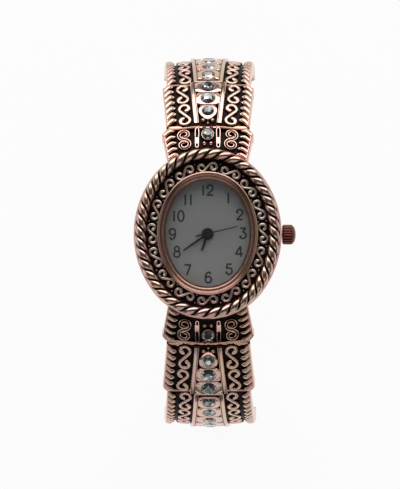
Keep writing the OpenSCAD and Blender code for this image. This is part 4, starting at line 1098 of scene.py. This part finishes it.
end_stone_walk, end_stone_radius = 18.75, 1.04
end_settings = pierced_rail(-1) + pierced_rail(1)
end_settings.append(collar(end_stone_walk, end_tier, end_stone_radius, 0.13, -0.12))
end_settings += [cast_bead(17.0, x, end_tier, 0.40) for x in (-0.6, 0.6)]
end_settings += [ring(20.15, x, end_tier, 0.27, 0.12) for x in (-0.62, 0.62)]
arm_settings = []
for tier, start, end in ((middle_tier, 21.25, 31.4), (outer_tier, 31.85, 51.2)):
    arm_settings += [rail_bar(tier, start, end, side, grooved_rail) for side in (-1, 1)]
    arm_settings.append(cross_bar(tier, end + 0.1))
# the arm's first stone, in the shield, and the walk, radius and half the pitch of the others
shield_stone_walk, shield_stone_radius, stone_room = 24.05, 1.14, 0.01
stone_rows = [(middle_tier, 27.15, 1.38, 1.52), (middle_tier, 30.2, 1.38, 1.52)] + [
    (outer_tier, 34.0 + 3.1 * i, 1.2, 1.53) for i in range(6)]
arm_settings.append(shield_setting(shield_stone_walk, middle_tier,
                                   shield_stone_radius + stone_room))
for tier, walk, radius, half_pitch in stone_rows:
    arm_settings.append(flat_setting(walk, tier, radius + stone_room,
                                     rail_gap(tier, walk) + 0.05, half_pitch))
arm_settings += [cast_bead(22.2, x, middle_tier, 0.40) for x in (-0.88, 0.88)]
arm_settings.append(cast_bead(21.62, 0.0, middle_tier, 0.27))
ornament("settings", "and_rails", gathered(end_settings), gathered(arm_settings),
         plated("settings and rails", (0.82, 0.56, 0.465, 1), 0.15), 40)

# ---- Stones ----
# Clear crystals with a flat table and a pointed back, cut with eight-fold facets and foiled behind.
# Their colour is painted glints: cells of near black, grey and white. Each is set in its collar or
# plate; those of the outer tier sit a little deeper.


def cut_stone(walk, tier, radius):
    """A brilliant: table, star and kite facets, a thin edge, then facets down to the point."""
    rows = [(0.56, 0.34, 8, 0.5), (0.80, 0.22, 8, 0.0), (1.0, 0.04, 16, 0.0),
            (1.0, -0.02, 16, 0.0), (0.55, -0.30, 8, 0.0), (0.0, -0.52, 1, 0.0)]
    sunk = 0.13 if tier is outer_tier else 0.0
    girdle = radius * 0.97
    points, index = [], []
    for r, h, n, phase in rows:
        index.append(range(len(points), len(points) + n))
        for i in range(n):
            a = 2 * math.pi * (i + phase) / n
            points.append(cuff_point(girdle * r * math.cos(a), walk + girdle * r * math.sin(a),
                                     tier.lift + 0.02 - sunk + radius * h * (1 - 3 * sunk)))
    table, star, upper, lower, back, tip = index
    faces = [tuple(table)]
    for i in range(8):
        n, even, odd, after = (i + 1) % 8, 2 * i, 2 * i + 1, (2 * i + 2) % 16
        faces += [(table[n], star[n], table[i]), (table[i], star[i], star[n]),
                  (star[i], upper[even], upper[odd]), (star[i], upper[odd], star[n]),
                  (star[n], upper[odd], upper[after]),
                  (upper[even], lower[even], lower[odd], upper[odd]),
                  (upper[odd], lower[odd], lower[after], upper[after]),
                  (lower[even], back[i], lower[odd]), (lower[odd], back[i], back[n]),
                  (lower[odd], back[n], lower[after]), (back[i], tip[0], back[n])]
    return points, faces, [1.0] * len(points)


crystal_finish, crystal_tree, crystal_shader = new_finish("foiled crystal")
crystal_place = add_node(crystal_tree, "TexCoord", {}).outputs["Object"]
# painted glints and reflections of the facets: cells of near black, grey and white
glints = add_node(crystal_tree, "TexVoronoi", {"Vector": crystal_place, "Scale": 1300})
painted_glint_colour = shaded(crystal_tree, glints.outputs["Color"], (0, (0.015, 0.017, 0.017, 1)),
                       (0.62, (0.26, 0.27, 0.265, 1)), (1, (0.95, 0.97, 0.96, 1)))
set_sockets(crystal_tree, crystal_shader, {"Base Color": painted_glint_colour, "Metallic": 0.75,
                                           "Roughness": 0.04, "Coat Weight": 0.6})
arm_stones = [cut_stone(shield_stone_walk, middle_tier, shield_stone_radius)]
arm_stones += [cut_stone(walk, tier, radius) for tier, walk, radius, _ in stone_rows]
ornament("stones", "cut", cut_stone(end_stone_walk, end_tier, end_stone_radius),
         gathered(arm_stones), crystal_finish, 0)

# ---- Stage, light and camera ----
# A pale table, which the camera and all gloss see as near white, soft light from the 12 o'clock
# side, and the camera above the dial.
table_share = 0.93
floor_finish, floor_tree, floor_shader = new_finish("pale table")
set_sockets(floor_tree, floor_shader, {"Base Color": (0.9, 0.9, 0.9, 1), "Roughness": 0.8})
rays = add_node(floor_tree, "LightPath", {}).outputs
direct = add_node(floor_tree, "Math", {0: rays["Is Camera Ray"], 1: rays["Is Glossy Ray"]},
                  operation="ADD")
seen = add_node(floor_tree, "Math", {0: direct.outputs[0], 1: rays["Is Transmission Ray"]},
                operation="ADD", use_clamp=True)
share = add_node(floor_tree, "Math", {0: seen.outputs[0], 1: table_share}, operation="MULTIPLY")
floor_mix = add_node(floor_tree, "MixShader",
                     {0: share.outputs[0], 1: floor_shader.outputs[0],
                      2: add_node(floor_tree, "Emission", {}).outputs[0]})
set_sockets(floor_tree, floor_tree.nodes["Material Output"], {"Surface": floor_mix.outputs[0]})
floor_half = 1500
floor_height = 1000 * cad_box[0][2] - 0.2
floor = make_piece("pale_table", ([(x * floor_half, y * floor_half, floor_height) for x, y in
                                   ((-1, -1), (1, -1), (1, 1), (-1, 1))], [(0, 1, 2, 3)]),
                   floor_finish, 0)

world = bpy.data.worlds.new("soft studio")
bpy.context.scene.world = world
world.use_nodes = True
set_sockets(world.node_tree, world.node_tree.nodes["Background"],
            {"Color": (0.07, 0.07, 0.073, 1), "Strength": 1.0})
# in metres: place, width and height of each softbox, and its watts
for name, place, size, power, tint in (
        ("key_from_12", (0.0, 0.55, 0.30), (1.1, 0.5), 5.2, (1.0, 0.985, 0.965)),
        ("high_from_12", (0.0, 0.36, 0.60), (0.7, 0.26), 0.28, (1, 1, 1)),
        ("high_from_6", (0.0, -0.38, 0.50), (0.7, 0.2), 0.45, (1, 1, 1)),
        ("fill_from_6", (0.0, -0.6, 0.22), (0.9, 0.26), 0.5, (1, 1, 1)),
        ("side_left", (-0.6, 0.05, 0.2), (0.5, 0.3), 0.4, (1, 1, 1)),
        ("side_right", (0.6, 0.05, 0.2), (0.5, 0.3), 0.35, (1, 1, 1))):
    lamp = bpy.data.lights.new(name, "AREA")
    lamp.shape, lamp.energy, lamp.color = "RECTANGLE", power, tint
    lamp.size, lamp.size_y = size
    softbox = bpy.data.objects.new(name, lamp)
    softbox.location = place
    softbox.rotation_euler = Vector(place).to_track_quat("Z", "Y").to_euler()
    bpy.context.scene.collection.objects.link(softbox)

photo_width = 400
view_width, eye_distance, sensor_width = 0.0710, 0.375, 36.0
tip, swing, roll = math.radians(4.1), math.radians(1.0), math.radians(-0.1)
right_shift, up_shift = 7.5, 11.5
per_pixel = view_width / photo_width
bezel_centre = Vector((0, 0, 0.0074))
back = Vector((math.sin(swing) * math.cos(tip), -math.sin(tip), math.cos(swing) * math.cos(tip)))
right = Vector((0, 1, 0)).cross(back).normalized()
upward = back.cross(right).normalized()
right, upward = (right * math.cos(roll) + upward * math.sin(roll),
                 upward * math.cos(roll) - right * math.sin(roll))
eye = bezel_centre + eye_distance * back
aim = bezel_centre - right * right_shift * per_pixel - upward * up_shift * per_pixel
view_back = (eye - aim).normalized()
view_right = upward.cross(view_back).normalized()
view_up = view_back.cross(view_right).normalized()
camera_data = bpy.data.cameras.new("front_camera")
camera_data.sensor_fit, camera_data.sensor_width = "HORIZONTAL", sensor_width
camera_data.lens = sensor_width * eye_distance / view_width
camera_data.clip_start = 0.01
camera = bpy.data.objects.new("front_camera", camera_data)
camera.matrix_world = (Matrix.Translation(eye)
                       @ Matrix((view_right, view_up, view_back)).transposed().to_4x4())
bpy.context.scene.collection.objects.link(camera)
bpy.context.scene.camera = camera
bpy.context.scene.view_settings.view_transform = "Standard"
